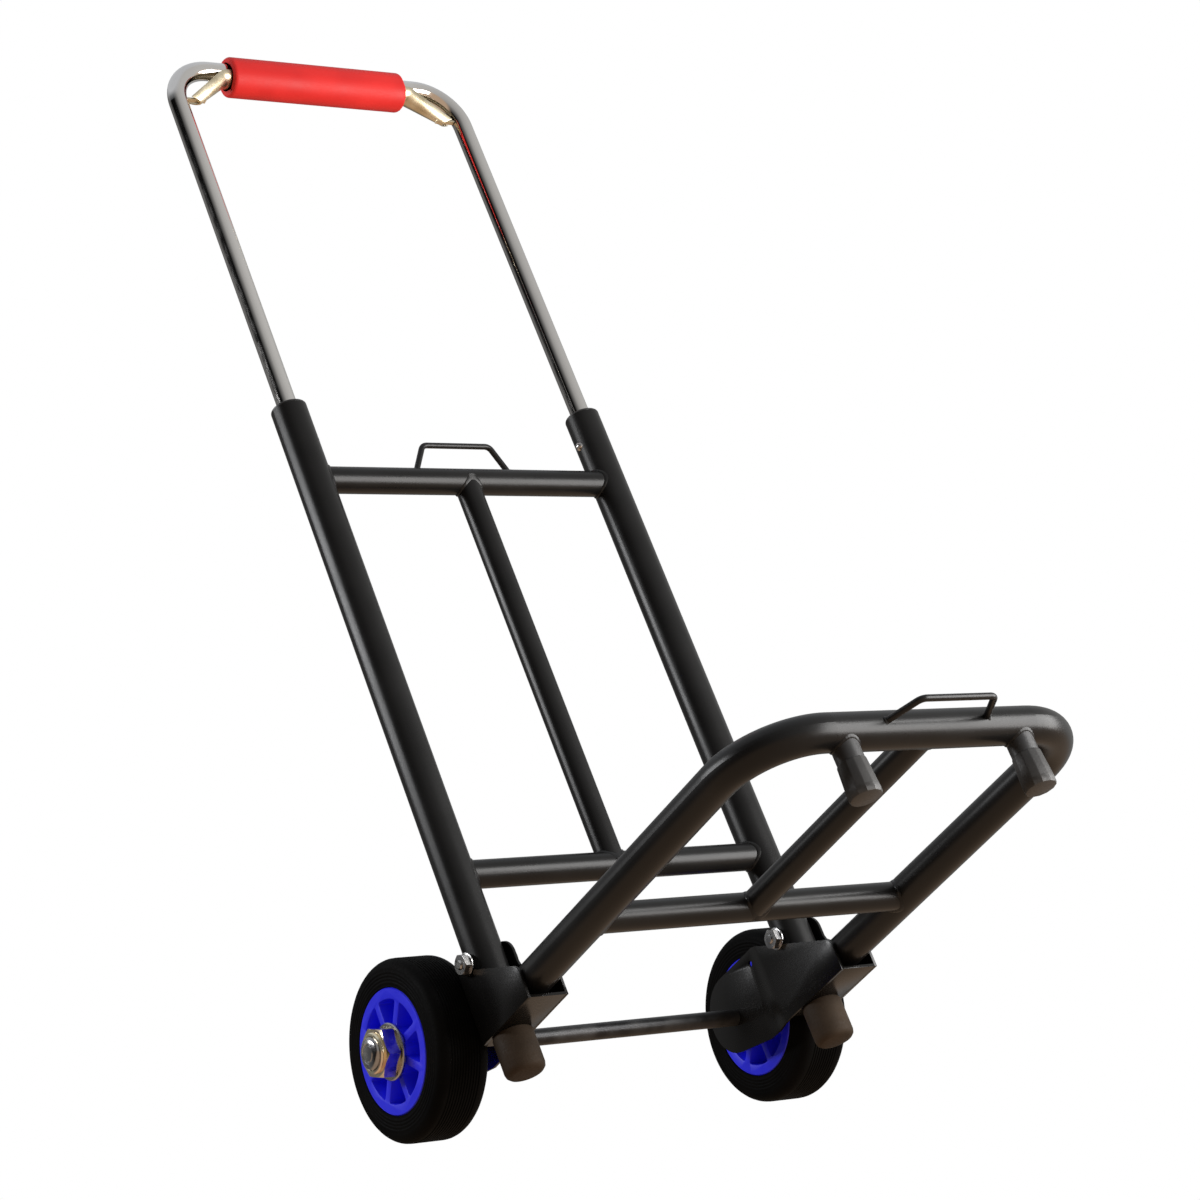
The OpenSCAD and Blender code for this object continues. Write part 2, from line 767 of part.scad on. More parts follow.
// The return spring round a pull rod, drawn as the sleeve that it fills.
module return_spring(side) {
    color("silver") at_side(side) translate([0, 0, disc_z + disc_t])
        pipe(disc_d, (disc_d - rod_d) / 2 - free_gap, spring_l);
}

// ---------------------------------------------------------------- release

// The trough section of the release bar in side view, open upwards, about its own axis.
module trough_view() {
    difference() {
        circle(r = release_r + release_t);
        circle(r = release_r);
        translate([-2 * release_r, 0]) square([4 * release_r, 2 * release_r]);
    }
}

// One leg of the release bar, from the grip's end down towards the handle tube.
module release_leg() {
    translate([leg_x, 0, 0]) rotate([0, leg_slope, 0]) side_view(-release_r, leg_l) trough_view();
}

// The bent trough under the grip, with a tab at each end that enters the handle tube.
module release_bar() {
    far = 4 * side_x;
    tab_x0 = leg_x + leg_l * cos(leg_slope) - (release_r + release_t / 2) / sin(leg_slope);
    color("#d9c79a") in_frame() translate([0, 0, release_z]) {
        difference() {
            side_view(-leg_x - release_r, leg_x + release_r) trough_view();
            for (flip = [0, 1]) mirror([flip, 0, 0]) translate([leg_x, 0, 0])
                rotate([0, leg_slope / 2, 0]) translate([0, -far / 2, -far / 2])
                    cube([far, far, far]);
        }
        for (flip = [0, 1]) mirror([flip, 0, 0]) difference() {
            union() {
                release_leg();
                translate([tab_x0, -tab_w / 2, tab_z - release_z - release_t / 2])
                    cube([side_x - tab_x0 - rod_d / 2, tab_w, release_t]);
            }
            translate([leg_x, 0, 0]) rotate([0, leg_slope / 2, 0])
                translate([-far, -far / 2, -far / 2]) cube([far, far, far]);
        }
    }
}

// The rod inside a handle leg that draws the lock button in.
module pull_rod(side) {
    color("silver") at_side(side) union() {
        translate([0, 0, disc_z]) cylinder(d = disc_d, h = disc_t);
        translate([0, 0, disc_z]) cylinder(d = rod_d, h = tab_z + release_t - disc_z);
    }
}

// ---------------------------------------------------------------- parts

side_tube(left);  // side_tube_left
side_tube(right);  // side_tube_right
crossbar(upper_bar_z);  // upper_crossbar
crossbar(lower_bar_z);  // lower_crossbar
centre_strut();
upper_hook();
bracket(left);  // bracket_left
bracket(right);  // bracket_right
guide_bush(left);  // guide_bush_left
guide_bush(right);  // guide_bush_right
tie_bolts();
tie_nuts();
tie_washers();
pivot_pins();
rear_foot(left);  // rear_foot_left
rear_foot(right);  // rear_foot_right
cross_axle();
wheel_stub(left);  // wheel_stub_left
wheel_stub(right);  // wheel_stub_right
axle_washers();
axle_nuts();
platform_loop();
platform_crossbar();
platform_strut();
platform_hook();
pivot_bushes();
foot_stubs();
front_foot(left);  // front_foot_left
front_foot(right);  // front_foot_right
handle_loop();
grip();
slider_plug(left);  // slider_plug_left
slider_plug(right);  // slider_plug_right
lock_button(left);  // lock_button_left
lock_button(right);  // lock_button_right
spring_seats();
return_spring(left);  // return_spring_left
return_spring(right);  // return_spring_right
release_bar();
pull_rod(left);  // pull_rod_left
pull_rod(right);  // pull_rod_right
tyre(left);  // tyre_left
rim(left);  // rim_left
hub_bushes(left);  // hub_bushes_left
tyre(right);  // tyre_right
rim(right);  // rim_right
hub_bushes(right);  // hub_bushes_right
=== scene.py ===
import json
import math

import bmesh
import bpy
from mathutils import Matrix, Vector


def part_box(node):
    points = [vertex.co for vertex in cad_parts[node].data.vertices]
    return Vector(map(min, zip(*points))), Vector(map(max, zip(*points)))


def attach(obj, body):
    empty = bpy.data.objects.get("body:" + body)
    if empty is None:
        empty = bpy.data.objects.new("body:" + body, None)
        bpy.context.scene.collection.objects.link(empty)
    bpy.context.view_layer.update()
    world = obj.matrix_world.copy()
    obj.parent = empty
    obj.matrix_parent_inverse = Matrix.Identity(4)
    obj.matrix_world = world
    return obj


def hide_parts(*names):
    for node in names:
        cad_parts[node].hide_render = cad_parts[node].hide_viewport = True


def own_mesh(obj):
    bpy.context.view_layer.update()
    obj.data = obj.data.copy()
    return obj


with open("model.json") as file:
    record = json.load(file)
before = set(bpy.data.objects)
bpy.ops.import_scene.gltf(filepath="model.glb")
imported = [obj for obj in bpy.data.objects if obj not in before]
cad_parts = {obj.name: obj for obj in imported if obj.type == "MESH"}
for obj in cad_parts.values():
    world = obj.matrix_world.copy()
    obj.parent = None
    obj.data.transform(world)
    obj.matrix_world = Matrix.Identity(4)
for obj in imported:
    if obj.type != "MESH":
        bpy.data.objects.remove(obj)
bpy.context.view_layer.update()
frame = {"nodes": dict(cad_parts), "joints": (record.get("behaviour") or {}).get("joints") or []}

scene = bpy.context.scene
nodes = frame["nodes"]
SIDES = (("left", -1), ("right", 1))

# ---------------------------------------------------------------- side tubes and rails
# Two upright steel tubes joined by two rails and a middle post, all coped to each other,
# MIG welded and powder coated in satin gloss black. The coat is thick enough to soften the
# weld ripples, and has a fine orange peel.


def finish(name, colours, rough, bump, grain, patch=20, metal=0.0, ior=1.5,
           stretch=(1, 1, 1)):
    """A material whose colour drifts in patches, with a finer grain in its gloss and relief."""
    made = bpy.data.materials.new(name)
    made.use_nodes = True
    tree, links = made.node_tree.nodes, made.node_tree.links
    shader = tree["Principled BSDF"]
    shader.inputs["Metallic"].default_value = metal
    shader.inputs["IOR"].default_value = ior
    place = tree.new("ShaderNodeTexCoord")
    pull = tree.new("ShaderNodeMapping")
    pull.inputs["Scale"].default_value = stretch
    links.new(place.outputs["Object"], pull.inputs["Vector"])
    sources = []
    for scale, detail in ((patch, 3), (grain, 2)):
        noise = tree.new("ShaderNodeTexNoise")
        noise.inputs["Scale"].default_value = scale
        noise.inputs["Detail"].default_value = detail
        links.new(pull.outputs["Vector"], noise.inputs["Vector"])
        sources.append(noise)
    ramp = tree.new("ShaderNodeValToRGB")
    for i, (stop, at) in enumerate(zip(colours, (0.34, 0.66))):
        ramp.color_ramp.elements[i].position = at
        ramp.color_ramp.elements[i].color = (*stop, 1)
    links.new(sources[0].outputs["Fac"], ramp.inputs["Fac"])
    links.new(ramp.outputs["Color"], shader.inputs["Base Color"])
    mix = tree.new("ShaderNodeMath")
    mix.operation = "MULTIPLY"
    links.new(sources[0].outputs["Fac"], mix.inputs[0])
    links.new(sources[1].outputs["Fac"], mix.inputs[1])
    gloss = tree.new("ShaderNodeMapRange")
    gloss.inputs["From Min"].default_value = 0.12
    gloss.inputs["From Max"].default_value = 0.38
    gloss.inputs["To Min"].default_value = rough[0]
    gloss.inputs["To Max"].default_value = rough[1]
    links.new(mix.outputs["Value"], gloss.inputs["Value"])
    links.new(gloss.outputs["Result"], shader.inputs["Roughness"])
    relief = tree.new("ShaderNodeBump")
    relief.inputs["Strength"].default_value = bump[0]
    relief.inputs["Distance"].default_value = bump[1]
    links.new(sources[1].outputs["Fac"], relief.inputs["Height"])
    links.new(relief.outputs["Normal"], shader.inputs["Normal"])
    return made


def dress(node, made):
    """Gives a CAD node its finish."""
    mesh = nodes[node].data
    mesh.materials.clear()
    mesh.materials.append(made)


def turned(axis):
    """The turn that takes +Z to axis."""
    return Vector((0, 0, 1)).rotation_difference(Vector(axis)).to_matrix().to_4x4()


def soften(bm, width, segments=2, sharper=40, keep=lambda edge: True):
    """Rounds every edge that is sharper than this many degrees."""
    bmesh.ops.remove_doubles(bm, verts=bm.verts, dist=2e-6)
    bm.normal_update()
    edges = [
        e for e in bm.edges
        if len(e.link_faces) == 2 and e.calc_face_angle(0) > math.radians(sharper) and keep(e)
    ]
    bmesh.ops.bevel(
        bm, geom=edges, affect="EDGES", offset=width, offset_type="OFFSET",
        segments=segments, profile=0.5, material=-1, clamp_overlap=True,
    )


def piece(bm, name, body, slot, made, *stands_for, crease=38):
    """Turns the finished bmesh into a piece that rides on body."""
    bmesh.ops.remove_doubles(bm, verts=bm.verts, dist=1e-6)
    bmesh.ops.recalc_face_normals(bm, faces=bm.faces)
    mesh = bpy.data.meshes.new(name)
    bm.to_mesh(mesh)
    bm.free()
    mesh.polygons.foreach_set("use_smooth", [True] * len(mesh.polygons))
    mesh.set_sharp_from_angle(angle=math.radians(crease))
    mesh.materials.append(made)
    new = bpy.data.objects.new(name, mesh)
    scene.collection.objects.link(new)
    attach(new, body)
    if stands_for:
        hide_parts(*stands_for)
    return new


RIPPLES = 30
RIPPLE = 0.05


def weld(bm, at, way, across, bar, tube, bead=0.0013):
    """A rippled weld bead round a bar's end, where the bar leaves a tube that runs across it."""
    at, way = Vector(at), Vector(way).normalized()
    side = way.cross(Vector(across)).normalized()
    rise = way.cross(side)
    old = set(bm.verts)
    first = bmesh.ops.create_circle(
        bm, segments=8, radius=bead, matrix=Matrix.Translation(at + rise * bar) @ turned(side)
    )["verts"]
    loop = list({e for v in first for e in v.link_edges})
    bmesh.ops.spin(
        bm, geom=loop, cent=at, axis=way, angle=math.tau, steps=3 * RIPPLES, use_merge=True
    )
    for v in set(bm.verts) - old:
        out = v.co - at
        out -= way * out.dot(way)
        core = at + out.normalized() * bar
        turn = math.atan2(out.dot(side), out.dot(rise))
        v.co = core + (v.co - core) * (1 + RIPPLE * math.sin(RIPPLES * turn))
        off = min(abs(out.dot(side)), tube)
        v.co += way * math.sqrt(tube * tube - off * off)


tube_lo, tube_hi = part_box("side_tube_right")
TUBE_R = (tube_hi.x - tube_lo.x) / 2
SIDE_X = (tube_hi.x + tube_lo.x) / 2
UPRIGHT_Y = (tube_hi.y + tube_lo.y) / 2

black_coat = finish(
    "black_powder_coat", ((0.0048, 0.0047, 0.0047), (0.0072, 0.0071, 0.0072)),
    (0.27, 0.36), (0.012, 0.0002), 1100, ior=1.33,
)
for node in ("side_tube_left", "side_tube_right", "upper_crossbar", "lower_crossbar",
             "centre_strut"):
    dress(node, black_coat)

bm = bmesh.new()
rails = {}
for node in ("upper_crossbar", "lower_crossbar"):
    lo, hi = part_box(node)
    rails[node] = ((lo.z + hi.z) / 2, (hi.z - lo.z) / 2)
    for _, way in SIDES:
        weld(bm, (way * SIDE_X, UPRIGHT_Y, rails[node][0]), (-way, 0, 0), (0, 0, 1),
             rails[node][1], TUBE_R)
post_lo, post_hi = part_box("centre_strut")
POST_R = (post_hi.x - post_lo.x) / 2
for node, way in (("upper_crossbar", -1), ("lower_crossbar", 1)):
    weld(bm, (0, UPRIGHT_Y, rails[node][0]), (0, 0, way), (1, 0, 0), POST_R, rails[node][1])
piece(bm, "frame_welds", "frame", "powder_black", black_coat)

# ---------------------------------------------------------------- cord hooks
# Each hook is a bent steel wire, a trapezoid welded by its two feet to a rail, that an
# elastic cord hooks on. The upper one leans a little forward; the platform's lies flat.


def bent_wire(bm, base, top, reach, radius, bend, place):
    """A wire trapezoid in the XZ plane: its feet at Z = 0 and its top at Z = reach."""
    spread = (base - top) / 2
    turn = math.atan2(reach, spread)
    flat = top / 2 - bend * math.tan(turn / 2)
    old = set(bm.verts)
    for way in (-1, 1):
        ring = bmesh.ops.create_circle(
            bm, segments=20, radius=radius,
            matrix=Matrix.Translation((0, 0, reach)) @ turned((1, 0, 0)),
        )["verts"]
        loop = list({e for v in ring for e in v.link_edges})
        made = bmesh.ops.extrude_edge_only(bm, edges=loop)["geom"]
        verts = {g for g in made if isinstance(g, bmesh.types.BMVert)}
        bmesh.ops.translate(bm, vec=(way * flat, 0, 0), verts=list(verts))
        loop = [e for v in verts for e in v.link_edges if set(e.verts) <= verts]
        made = bmesh.ops.spin(
            bm, geom=list(set(loop)), cent=(way * flat, 0, reach - bend), axis=(0, 1, 0),
            angle=way * turn, steps=10,
        )["geom_last"]
        verts = {g for g in made if isinstance(g, bmesh.types.BMVert)}
        verts |= {v for g in made if isinstance(g, bmesh.types.BMEdge) for v in g.verts}
        loop = [e for v in verts for e in v.link_edges if set(e.verts) <= verts]
        leg = math.hypot(spread, reach) - bend * math.tan(turn / 2)
        made = bmesh.ops.extrude_edge_only(bm, edges=list(set(loop)))["geom"]
        verts = [g for g in made if isinstance(g, bmesh.types.BMVert)]
        step = Vector((way * math.cos(turn), 0, -math.sin(turn))) * leg
        bmesh.ops.translate(bm, vec=step, verts=verts)
        edges = {e for v in verts for e in v.link_edges if set(e.verts) <= set(verts)}
        bmesh.ops.edgeloop_fill(bm, edges=list(edges))
    bmesh.ops.transform(bm, matrix=place, verts=list(set(bm.verts) - old))


WIRE_R = 0.00225
HOOK_BASE = 0.090
HOOK_TOP = 0.0585
HOOK_BEND = 0.006
HOOK_LEAN = math.radians(8)
THIN_BEAD = 0.0011
hook_coat = finish(
    "hook_powder_coat", ((0.005, 0.005, 0.0052), (0.008, 0.008, 0.0082)),
    (0.24, 0.38), (0.05, 0.0003), 900, ior=1.35,
)
_, hook_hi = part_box("upper_hook")
rail_z, rail_r = rails["upper_crossbar"]
reach = (hook_hi.z - rail_z - WIRE_R) / math.cos(HOOK_LEAN)
bm = bmesh.new()
place = Matrix.Translation((0, UPRIGHT_Y, rail_z)) @ Matrix.Rotation(HOOK_LEAN, 4, "X")
bent_wire(bm, HOOK_BASE, HOOK_TOP, reach, WIRE_R, HOOK_BEND, place)
slant = (HOOK_BASE - HOOK_TOP) / 2 / reach
for way in (-1, 1):
    weld(bm, place @ Vector((way * HOOK_BASE / 2, 0, 0)),
         place.to_3x3() @ Vector((-way * slant, 0, 1)), (1, 0, 0), WIRE_R, rail_r, THIN_BEAD)
piece(bm, "upper_cord_hook", "frame", "powder_black", hook_coat, "upper_hook")

# ---------------------------------------------------------------- brackets
# Each bracket is pressed from 2 mm steel sheet: an outer gusset, a web under the tubes, and
# a longer inner plate whose tongue steps outboard and ends round about the axle. The plate
# towards +X has a round ear for the bolt's head.
pivot = Vector(next(j for j in frame["joints"] if j["name"] == "platform_fold")["pos_m"])
axle = Vector(next(j for j in frame["joints"] if j["name"] == "wheel_left_spin")["pos_m"])
plate_lo, plate_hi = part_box("bracket_right")
PLATE_T = 0.002
NOSE_R = 0.010
NOSE_SLOPE = math.radians(26.5)
TONGUE_R = plate_hi.y - axle.y
TONGUE_RISE = 0.0035
TAG_R = 0.00225
TAG_DROP = 0.009
BEND_CUTS = 8
PRESS_EDGE = 0.00035
JOGGLE = 0.0025
JOGGLE_L = 0.0145
JOGGLE_Y = UPRIGHT_Y + TUBE_R + 0.010
EAR_Z = plate_hi.z - TUBE_R
OUTER_X = plate_hi.x - PLATE_T
INNER_X = plate_lo.x


def arc(cy, cz, radius, start, stop, steps=14):
    """Points of an arc in side view, from start to stop in degrees."""
    angles = [math.radians(start + (stop - start) * i / steps) for i in range(steps + 1)]
    return [(cy + radius * math.cos(a), cz + radius * math.sin(a)) for a in angles]


def plate(bm, outline, holes, x):
    """A flat face in the plane of that X, with round holes."""
    edges = []
    for ring in [outline] + [arc(y, z, r, 0, 360 - 15, 23) for y, z, r in holes]:
        verts = [bm.verts.new((x, y, z)) for y, z in ring]
        edges += [bm.edges.new((a, b)) for a, b in zip(verts, verts[1:] + verts[:1])]
    bmesh.ops.triangle_fill(bm, use_beauty=True, use_dissolve=False, edges=edges)


nose_y, web_z = plate_lo.y, plate_lo.z
touch = (nose_y + NOSE_R * (1 - math.sin(NOSE_SLOPE)), pivot.z + NOSE_R * math.cos(NOSE_SLOPE))
ear_front = UPRIGHT_Y - TUBE_R
crook = touch[1] + (ear_front - touch[0]) * math.tan(NOSE_SLOPE)
ear_back = UPRIGHT_Y + TUBE_R
nose = arc(nose_y + NOSE_R, pivot.z, NOSE_R, 90 + math.degrees(NOSE_SLOPE), 180, 10)
nose += [(nose_y, web_z)]
ear = arc(UPRIGHT_Y, EAR_Z, TUBE_R, 90, 180)
ear += [(ear_front, crook + 0.004), (ear_front - 0.001, crook + 0.0008),
        (ear_front - 0.004, crook - 0.002)]
tongue_z = axle.z + TONGUE_RISE
tongue_top = tongue_z + TONGUE_R
meet = math.degrees(math.asin((tongue_top - EAR_Z) / TUBE_R))
low_y = axle.y - TONGUE_R
dip = tongue_z - web_z
rise = math.degrees(math.atan2(dip, TONGUE_R) - math.asin(TONGUE_R / math.hypot(TONGUE_R, dip)))
tongue = [(low_y, web_z)] + arc(axle.y, tongue_z, TONGUE_R, rise - 90, 90, 40)
bend_y = touch[0] + (tongue_top - touch[1]) / math.tan(NOSE_SLOPE)
bracket_coat = finish(
    "bracket_powder_coat", ((0.0026, 0.0025, 0.0024), (0.0044, 0.0042, 0.0040)),
    (0.20, 0.30), (0.03, 0.0003), 1000, ior=1.35,
)
for side, way in SIDES:
    bm = bmesh.new()
    eared = arc(UPRIGHT_Y, EAR_Z, TUBE_R, 0, 90)[:-1] + ear
    plain = [(ear_back, crook + 2 * TUBE_R * math.tan(NOSE_SLOPE))]
    plate(bm, (eared if way > 0 else plain) + nose + [(ear_back, web_z)], [], OUTER_X)
    eared = arc(UPRIGHT_Y, EAR_Z, TUBE_R, meet, 90)[:-1] + ear
    plain = [(bend_y + 0.004, tongue_top), (bend_y + 0.001, tongue_top - 0.0003),
             (bend_y - 0.003, tongue_top - 0.0018)]
    plate(bm, (plain if way > 0 else eared) + nose + tongue,
          [(JOGGLE_Y + JOGGLE_L + TAG_R, tongue_top - TAG_DROP, TAG_R)], INNER_X)
    web = bmesh.ops.create_grid(bm, x_segments=1, y_segments=1, size=1)["verts"]
    for v in web:
        v.co.x = OUTER_X if v.co.x > 0 else INNER_X + PLATE_T
        v.co.y = ear_back + PLATE_T if v.co.y > 0 else nose_y
        v.co.z = web_z
    for i in range(BEND_CUTS + 1):
        faces = [f for f in bm.faces if f.calc_center_median().x < OUTER_X - 0.02]
        cut = {g for f in faces for g in (f, *f.edges, *f.verts)}
        bmesh.ops.bisect_plane(
            bm, geom=list(cut), dist=1e-6,
            plane_co=(0, JOGGLE_Y + JOGGLE_L * i / BEND_CUTS, 0), plane_no=(0, 1, 0),
        )
    for v in bm.verts:
        if abs(v.co.x - INNER_X) < 1e-6:
            t = min(max((v.co.y - JOGGLE_Y) / JOGGLE_L, 0), 1)
            v.co.x += JOGGLE * t * t * (3 - 2 * t)
    for f in bm.faces:
        f.normal_update()
    for f in list(bm.faces):
        if abs(f.normal.z) > 0.9:
            if f.normal.z > 0:
                f.normal_flip()
        elif f.normal.x > 0:
            f.normal_flip()
    bmesh.ops.solidify(bm, geom=list(bm.faces), thickness=PLATE_T)
    soften(bm, PRESS_EDGE, 2, 50)
    for v in bm.verts:
        v.co.x *= way
    piece(bm, f"bracket_{side}_pressing", "frame", "powder_black", bracket_coat, f"bracket_{side}")

# ---------------------------------------------------------------- guide bushes
# A black nylon bush is pressed into each side tube's top. Its lip closes the gap between the
# black tube and the chromed handle leg that slides in it.


def lathe(bm, outline, centre, axis, steps=72, closed=True):
    """Spins an outline of (radius, height) points about axis through centre."""
    old = set(bm.verts)
    verts = [bm.verts.new((r, 0, h)) for r, h in outline]
    onward = verts[1:] + verts[:1] if closed else verts[1:]
    edges = [bm.edges.new((a, b)) for a, b in zip(verts, onward)]
    bmesh.ops.spin(
        bm, geom=verts + edges, cent=(0, 0, 0), axis=(0, 0, 1), angle=math.tau, steps=steps,
        use_merge=True,
    )
    new = [v for v in bm.verts if v not in old]
    bmesh.ops.transform(bm, matrix=Matrix.Translation(centre) @ turned(axis), verts=new)
    bmesh.ops.remove_doubles(bm, verts=new, dist=1e-6)
    flat = [f for f in bm.faces if f.calc_area() < 1e-13]
    bmesh.ops.delete(bm, geom=flat, context="FACES_ONLY")


LEG_R = 0.0075
BUSH_R = 0.0119
BUSH_LIP = 0.002
BUSH_BORE = LEG_R + 0.0001
nylon_black = finish(
    "black_nylon", ((0.010, 0.010, 0.011), (0.018, 0.018, 0.019)), (0.3, 0.5), (0.1, 0.0002), 1600
)
for side, way in SIDES:
    lo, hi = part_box(f"guide_bush_{side}")
    bm = bmesh.new()
    lathe(bm, [
        (BUSH_BORE, lo.z), (BUSH_R, lo.z), (BUSH_R, hi.z - BUSH_LIP), (TUBE_R, hi.z - BUSH_LIP),
        (TUBE_R, hi.z - 0.0008), (TUBE_R - 0.0010, hi.z - 0.0001), (LEG_R + 0.0009, hi.z),
        (BUSH_BORE, hi.z - 0.0008),
    ], (way * SIDE_X, UPRIGHT_Y, 0), (0, 0, 1))
    soften(bm, 0.00025)
    piece(bm, f"guide_bush_{side}_lip", "frame", "plastic_black", nylon_black, f"guide_bush_{side}")

# ---------------------------------------------------------------- tie bolts
# A zinc plated bolt runs through each bracket and side tube, with a washer and a nut on the
# end that points to the cart's left. The thread shows past the nut.


def hexagon(bm, across, x0, x1, centre, bore=0.0, chamfer=(True, True)):
    """A hexagon head or nut along X, with its corners turned off by a 30 degree cone."""
    flat = across / 2
    rings = []
    turned_r = flat * 1.01
    sector = math.pi / 3
    for x, out, cut in ((x0, -1, chamfer[0]), (x1, 1, chamfer[1])):
        ring = []
        for kind in ("rim", "face"):
            made = bmesh.ops.create_circle(bm, segments=96, radius=1)["verts"]
            for v in made:
                a = math.atan2(v.co.y, v.co.x)
                corner = flat / math.cos((a + sector / 2) % sector - sector / 2)
                drop = max(corner - turned_r, 0) * math.tan(math.radians(30)) if cut else 0
                r = corner if kind == "rim" or not cut else min(corner, turned_r)
                step = drop if kind == "rim" else 0
                v.co = Vector((x - out * step, r * math.cos(a), r * math.sin(a))) + centre
            ring.append(list({e for v in made for e in v.link_edges}))
        rings.append(ring)
    bmesh.ops.bridge_loops(bm, edges=rings[0][0] + rings[1][0])
    for ring in rings:
        bmesh.ops.bridge_loops(bm, edges=ring[0] + ring[1])
    if not bore:
        for ring in rings:
            bmesh.ops.edgeloop_fill(bm, edges=ring[1])
        return
    holes = []
    for x, ring in zip((x0, x1), rings):
        made = bmesh.ops.create_circle(
            bm, segments=96, radius=bore, matrix=Matrix.Translation(Vector((x, 0, 0)) + centre)
            @ turned((1, 0, 0)),
        )["verts"]
        hole = list({e for v in made for e in v.link_edges})
        bmesh.ops.bridge_loops(bm, edges=ring[1] + hole)
        holes += hole
    bmesh.ops.bridge_loops(bm, edges=holes)


def thread(radius, pitch, start, turns, depth=0.0004):
    """The outline of a thread's crests and roots, from start upwards."""
    points = []
    for i in range(turns):
        base = start + i * pitch
        points += [(radius - depth, base + 0.1 * pitch), (radius, base + 0.5 * pitch)]
    return points + [(radius - depth, start + turns * pitch)]


bright_zinc = finish(
    "bright_zinc_plating", ((0.30, 0.30, 0.31), (0.48, 0.47, 0.45)), (0.16, 0.34), (0.08, 0.0002),
    1500, patch=60, metal=1.0,
)
bolt_lo, bolt_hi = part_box("tie_bolts")
nut_lo, nut_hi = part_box("tie_nuts")
washer_lo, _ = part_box("tie_washers")
bolt_z = (nut_lo.z + nut_hi.z) / 2
TIE_R = 0.0035
TIE_AF = 0.013
TIE_HEAD = 0.0053
TIE_SHANK = TIE_R - 0.0003
TIE_PITCH = 0.00125
TIE_WASHER_R = 0.008
TIE_WASHER_T = 0.0012
heads, nuts, washers = bmesh.new(), bmesh.new(), bmesh.new()
for _, way in SIDES:
    shift = (way + 1) * SIDE_X
    centre = Vector((0, UPRIGHT_Y, bolt_z))
    tip = bolt_lo.x + shift
    head_x = bolt_hi.x - TIE_HEAD - 2 * SIDE_X + shift
    hexagon(heads, TIE_AF, head_x, head_x + TIE_HEAD, centre, chamfer=(False, True))
    lathe(heads, [(0, 0), (0.0024, 0), (TIE_R - 0.0002, 0.0006)]
          + thread(TIE_R, TIE_PITCH, 0.0008, 7) + [(TIE_SHANK, 0.011)]
          + [(TIE_SHANK, head_x - tip), (0, head_x - tip)],
          (tip, UPRIGHT_Y, bolt_z), (1, 0, 0), 40)
    nut_x = nut_lo.x + shift
    nut_t = washer_lo.x - nut_lo.x
    hexagon(nuts, TIE_AF, nut_x, nut_x + nut_t, centre, TIE_R)
    lathe(washers, [
        (TIE_R, 0), (0.0075, 0), (TIE_WASHER_R, 0.0003), (TIE_WASHER_R, 0.0009),
        (0.0077, TIE_WASHER_T), (TIE_R, TIE_WASHER_T),
    ], (nut_x + nut_t, UPRIGHT_Y, bolt_z), (1, 0, 0), 56)
piece(heads, "tie_bolt_pair", "frame", "zinc", bright_zinc, "tie_bolts", crease=30)
piece(nuts, "tie_nut_pair", "frame", "zinc", bright_zinc, "tie_nuts", crease=25)
piece(washers, "tie_washer_pair", "frame", "zinc", bright_zinc, "tie_washers")

# ---------------------------------------------------------------- rear feet and pivot pins
# A moulded rubber foot is pushed into each side tube's lower end: a round pad with a
# rounded edge over a stem. The platform's flush steel pins are blacked.
foot_rubber = finish(
    "foot_rubber", ((0.026, 0.0185, 0.0125), (0.038, 0.027, 0.0185)), (0.55, 0.8), (0.2, 0.0004),
    700, patch=45, ior=1.2,
)
STEM_R = 0.0118
for side, way in SIDES:
    lo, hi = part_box(f"rear_foot_{side}")
    pad = (hi.x - lo.x) / 2
    bm = bmesh.new()
    lathe(bm, [
        (0, 0), (pad - 0.0045, 0), (pad - 0.0022, 0.0006), (pad - 0.0006, 0.0022), (pad, 0.0045),
        (pad, web_z - 0.0012), (pad - 0.0008, web_z), (STEM_R, web_z), (STEM_R, hi.z - 0.001),
        (0.0108, hi.z), (0, hi.z),
    ], (way * SIDE_X, UPRIGHT_Y, 0), (0, 0, 1))
    piece(bm, f"rear_foot_{side}_pad", "frame", "foot_rubber", foot_rubber, f"rear_foot_{side}")
blacked_steel = finish(
    "blacked_steel", ((0.018, 0.018, 0.019), (0.045, 0.045, 0.046)), (0.3, 0.5), (0.1, 0.0002),
    900, patch=50, metal=0.7,
)
pin_lo, pin_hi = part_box("pivot_pins")
PIN_R = (pin_hi.z - pin_lo.z) / 2
PIN_SUNK = 0.0003
bm = bmesh.new()
for _, way in SIDES:
    half = pin_hi.x - SIDE_X - PIN_SUNK
    lathe(bm, [(0, -half), (PIN_R, -half), (PIN_R, half), (0, half)],
          (way * SIDE_X, pivot.y, pivot.z), (1, 0, 0), 48)
piece(bm, "pivot_pin_pair", "frame", "powder_black", bracket_coat, "pivot_pins")

